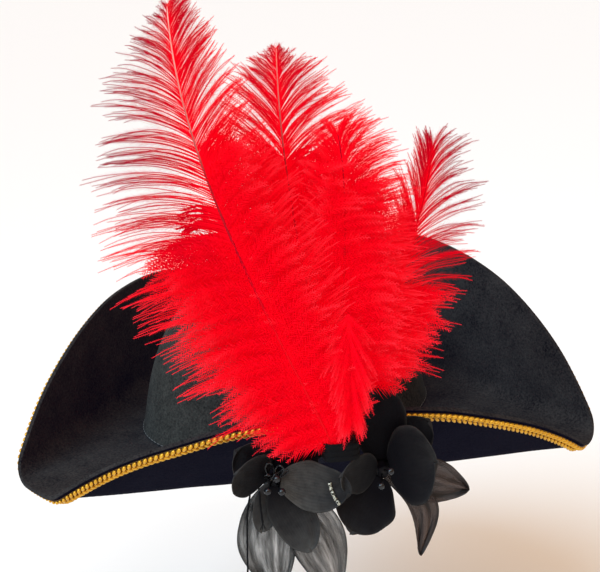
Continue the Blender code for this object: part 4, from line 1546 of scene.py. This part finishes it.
# %% A rule that bends a petal
PETAL_CUP = 0.05
PETAL_BLUNT = 0.03
SHEER_LENGTH = 0.045
SATIN_FULLNESS = 0.5
ORGANZA_FULLNESS = 0.65
PLEATS = 2
PLEAT_DEPTH = 0.0013
RIPPLE = 0.0014
WRINKLES = (2.2, 3.5)
CRIMP = 0.6
CRIMPS = 14
CRIMP_LAYER = 40.0
CUT_WANDER = 0.14
CUT_WAVES = 2.5
CUT_LAYER = 20.0
END_WAVES = 1.5
END_ROW = 7.0


def on_flower(flower, direction, out, forward, tilt):
    """Frame on a flower: out from its heart in a direction, forward of it, and tilted."""
    turning = Matrix.Rotation(math.radians(-direction), 4, "Y")
    root = Vector(flower["heart"]) + turning.to_3x3() @ Vector((out, 0.0, 0.0))
    root.y -= forward
    tilting = Matrix.Rotation(math.radians(tilt), 4, "Y")
    return TRIM @ Matrix.Translation(root) @ turning @ FACING_OUT @ tilting


def petal_mesh(name, petal, seed, painted_light):
    """A petal in its own frame: x runs along it, y across it and z towards the viewer."""
    _, length, width, _, bow = petal
    sheer = length > SHEER_LENGTH
    fullness = ORGANZA_FULLNESS if sheer else SATIN_FULLNESS

    def wander(x, y, layer=0.0):
        return noise.noise(Vector((x, y, seed + layer)))

    def petal_point(u, v):
        side = 2 * u - 1
        half = width / 2 * max(0.0, math.sin(math.pi * (PETAL_BLUNT + (1 - PETAL_BLUNT) * v))) ** fullness
        half *= 1 + CUT_WANDER * wander(v * CUT_WAVES, math.copysign(1.0, side), CUT_LAYER)
        reach = length * v * (1 + CUT_WANDER / 2 * wander(side * END_WAVES, END_ROW))
        front = PETAL_CUP * width * side * side * v
        if sheer:
            front += PLEAT_DEPTH * math.cos(math.pi * PLEATS * side) * v ** 2
        wrinkle = wander(side * WRINKLES[0], v * WRINKLES[1])
        crimp = wander(side * CRIMPS, v * CRIMPS, CRIMP_LAYER) * max(abs(side), v) ** 6
        fade = 2 * half / width
        front += (RIPPLE * wrinkle + CRIMP * RIPPLE * crimp * fade) * v * fade
        return Vector((reach, side * half + bow * math.sin(math.pi * v), front))

    mesh = mapped_grid(name, 40, 56, petal_point)
    shade = mesh.attributes.new("shade", "FLOAT", "POINT")
    lot = mesh.attributes.new("lot", "FLOAT", "POINT")
    for k, vertex in enumerate(mesh.vertices):
        shade.data[k].value = painted_light[0] + (painted_light[1] - painted_light[0]) * vertex.co.x / length
        lot.data[k].value = seed
    return mesh


print("petals longer than", round(SHEER_LENGTH * 1000), "mm are sheer")

# %% Petals of satin and organza
PETAL_CLOTH = 0.0005
PETAL_ROOT = 0.004
SHEER_CLOTH = {"left_flower": PETAL_ORGANZA, "right_flower": PETAL_SMOKE}
# Painted light and shade for each petal, from root to tip: lit where a petal faces the light, dark where it
# lies in shade or behind others.
PETAL_PAINTED_LIGHT = {
    "left_flower": (
        (0.0, 0.04), (0.0, 0.10), (0.7, 1.0), (0.30, 0.6),
        (0.3, 0.6), (0.0, 0.55), (0.02, 0.22), (1.05, 0.05),
    ),
    "right_flower": (
        (0.0, 0.05), (0.0, 0.02), (0.5, 1.0), (0.3, 1.0),
        (-0.05, 0.16), (-0.04, 0.12), (0.05, 0.25),
    ),
}
for flower_order, (name, flower) in enumerate(FLOWERS.items()):
    for layer, petal in enumerate(flower["petals"]):
        direction, length, width, lean, _ = petal
        node = f"{name}_petal_{layer + 1}"
        turn = on_flower(flower, direction, PETAL_ROOT, (layer + 1) * PETAL_STEP, -lean)
        sheer = length > SHEER_LENGTH
        mesh = petal_mesh(node, petal, 10.0 * flower_order + layer, PETAL_PAINTED_LIGHT[name][layer])
        cut = sum(face.area for face in mesh.polygons)
        cloth = SHEER_CLOTH[name] if sheer else PETAL_SATIN
        piece = place_mesh(node + "_cloth", mesh, turn, cloth)
        thicken(piece, PETAL_CLOTH, 0).modifiers["cloth"].use_even_offset = False
        seat(piece, "hat", "sheer_petal" if sheer else "petal", node)
        max(width, cut / length)
        name + "_cup"

# %% [markdown]
# ### Stamens
# A stamen is a wire stalk with a glossy bead on its end, so it is a profile turned about its axis too.
# Its foot stands at the core's end, and it leans out in a direction of its own.

# %% Stamens with glossy beads
STAMEN_STALK = 0.0006
STAMEN_LENGTH = 0.010
STAMEN_RING = 0.0014
STAMEN_CLEAR = 0.0003
BEAD_RADIUS = 0.0022
BEAD_ROWS = 14


def stamen_outline():
    """A thin stalk that ends in a round bead, as (radius, height) from its foot up."""
    stalk_turn = math.pi - math.asin(STAMEN_STALK / BEAD_RADIUS)
    turns = [stalk_turn * (1 - k / BEAD_ROWS) for k in range(BEAD_ROWS + 1)]
    bead = [(BEAD_RADIUS * math.sin(a), STAMEN_LENGTH + BEAD_RADIUS * math.cos(a)) for a in turns]
    return [(0.0, 0.0), (STAMEN_STALK, 0.0), *bead[:-1], (0.0, STAMEN_LENGTH + BEAD_RADIUS)]


for name, flower in FLOWERS.items():
    for k, (direction, spread) in enumerate(flower["stamens"]):
        turn = on_flower(flower, direction, STAMEN_RING, core_length(flower) + STAMEN_CLEAR, spread)
        stamen = place_mesh(f"{name}_bead_{k + 1}", lathe_mesh(name, stamen_outline(), 20), turn, BEAD_BLACK)
        seat(stamen, "hat", "bead", f"{name}_stamen_{k + 1}")

# %% [markdown]
# ### Glossy trimmings of the left flower
# Round the left flower's beads stand a few loops of lacquered thread, and a short strand of glass
# tubes is sewn across its front petal. Each loop is a teardrop that starts and ends inside the core;
# the tubes follow a line of points on the cloth. Both are too small to be solids of their own.

# %% Lacquered loops and a strand of glass tubes
LOOP_RADIUS = 0.0005
LOOP_WIDTH = 0.0046
LOOP_POINTS = 24
LOOP_SEAT = 0.0115
LOOPS = (
    (48, 0.012, 28, 20), (70, 0.015, 36, -25), (88, 0.012, 52, 40),
    (104, 0.016, 30, 15), (122, 0.012, 46, -35), (80, 0.010, 66, 0),
)
TUBE_RADIUS = 0.0010
TUBE_MOUTH = 0.45
TUBE_LIFT = Vector((0.0, -0.0005, 0.0))
TUBE_GAP = 0.12
TUBE_ENDS = (
    (0.0018, -0.2034, 0.0302), (0.0020, -0.2035, 0.0276), (0.0028, -0.2038, 0.0250),
    (0.0036, -0.2046, 0.0224), (0.0048, -0.2052, 0.0198), (0.0064, -0.2062, 0.0174),
)


def loop_mesh(direction, length, lean, roll):
    """A teardrop of thread, rooted in the left flower's core."""
    turns = [math.pi * k / LOOP_POINTS for k in range(LOOP_POINTS + 1)]
    line = [Vector((length * math.sin(a), LOOP_WIDTH / 2 * math.sin(2 * a), 0.0)) for a in turns]
    mesh = sweep("loop", line, lambda s: LOOP_RADIUS, 8)
    rolled = Matrix.Rotation(math.radians(roll), 4, "X")
    mesh.transform(on_flower(FLOWERS["left_flower"], direction, 0.0, LOOP_SEAT, -lean) @ rolled)
    return mesh


def tube_radius(share):
    """A glass tube's radius, drawn in at both of its ends."""
    return TUBE_RADIUS * (TUBE_MOUTH if share in (0.0, 1.0) else 1.0)


loops = joined("loops", [loop_mesh(*loop) for loop in LOOPS])
seat(place_mesh("left_flower_loops", loops, None, BEAD_BLACK), "hat", "bead")
strand = [Vector(point) + TUBE_LIFT for point in TUBE_ENDS]
tubes = []
for a, b in zip(strand, strand[1:]):
    line = [a.lerp(b, share) for share in (0.0, TUBE_GAP, 1.0 - TUBE_GAP, 1.0)]
    tubes.append(sweep("tube", line, tube_radius, 8))
seat(place_mesh("left_flower_strand", joined("tubes", tubes), TRIM, GLASS_PAINTED_GLINTS), "hat", "bead")
print("loops:", len(LOOPS), "glass tubes:", len(tubes))

# %% [markdown]
# ## Studio
# The hat floats 20 cm over a plain pale floor. One sun, as wide as a big soft box, lights it from the
# upper left, a lamp high in front softens the shading, and a warm sky fills the shadows. The view
# transform is the plain one, so that the dye's red stays as saturated as it is.

# %% Floor, lights and sky
FLOOR_HEIGHT = -0.20
FLOOR_SIZE = 80.0
FLOOR_COLOUR = (0.90, 0.89, 0.87, 1.0)
SKY_COLOUR = (1.0, 0.63, 0.36, 1.0)
SKY_STRENGTH = 0.70


def make_floor():
    bpy.ops.mesh.primitive_plane_add(size=FLOOR_SIZE, location=(0, 0, FLOOR_HEIGHT))
    floor = bpy.context.object
    floor.name = "studio_floor"
    material, _, _ = start_finish("pale_floor", 0.9, Base_Color=FLOOR_COLOUR)
    floor.data.materials.append(material)


def hang_lamp(name, kind, place, aim, energy, colour):
    """A lamp at a place in the trim frame, turned towards its aim."""
    lamp = bpy.data.lights.new(name, kind)
    lamp.energy = energy
    lamp.color = colour
    made = bpy.data.objects.new(name, lamp)
    made.location = TRIM @ Vector(place)
    made.rotation_euler = (TRIM @ Vector(aim) - made.location).to_track_quat("-Z", "Y").to_euler()
    scene.collection.objects.link(made)
    return lamp


make_floor()
key_sun = hang_lamp("key_sun", "SUN", (-1.3, -0.8, 1.4), (0.0, 0.0, 0.0), 4.0, (0.49, 0.77, 1.0))
key_sun.angle = math.radians(50)
high_fill = hang_lamp("high_fill", "AREA", (0.1, -1.2, 1.7), (0.05, -0.1, 0.12), 14.0, (0.8, 0.92, 1.0))
high_fill.size = 1.2
sky = bpy.data.worlds.new("studio_sky")
sky.use_nodes = True
sky.node_tree.nodes["Background"].inputs["Color"].default_value = SKY_COLOUR
sky.node_tree.nodes["Background"].inputs["Strength"].default_value = SKY_STRENGTH
scene.world = sky
scene.view_settings.view_transform = "Standard"
print("studio ready")
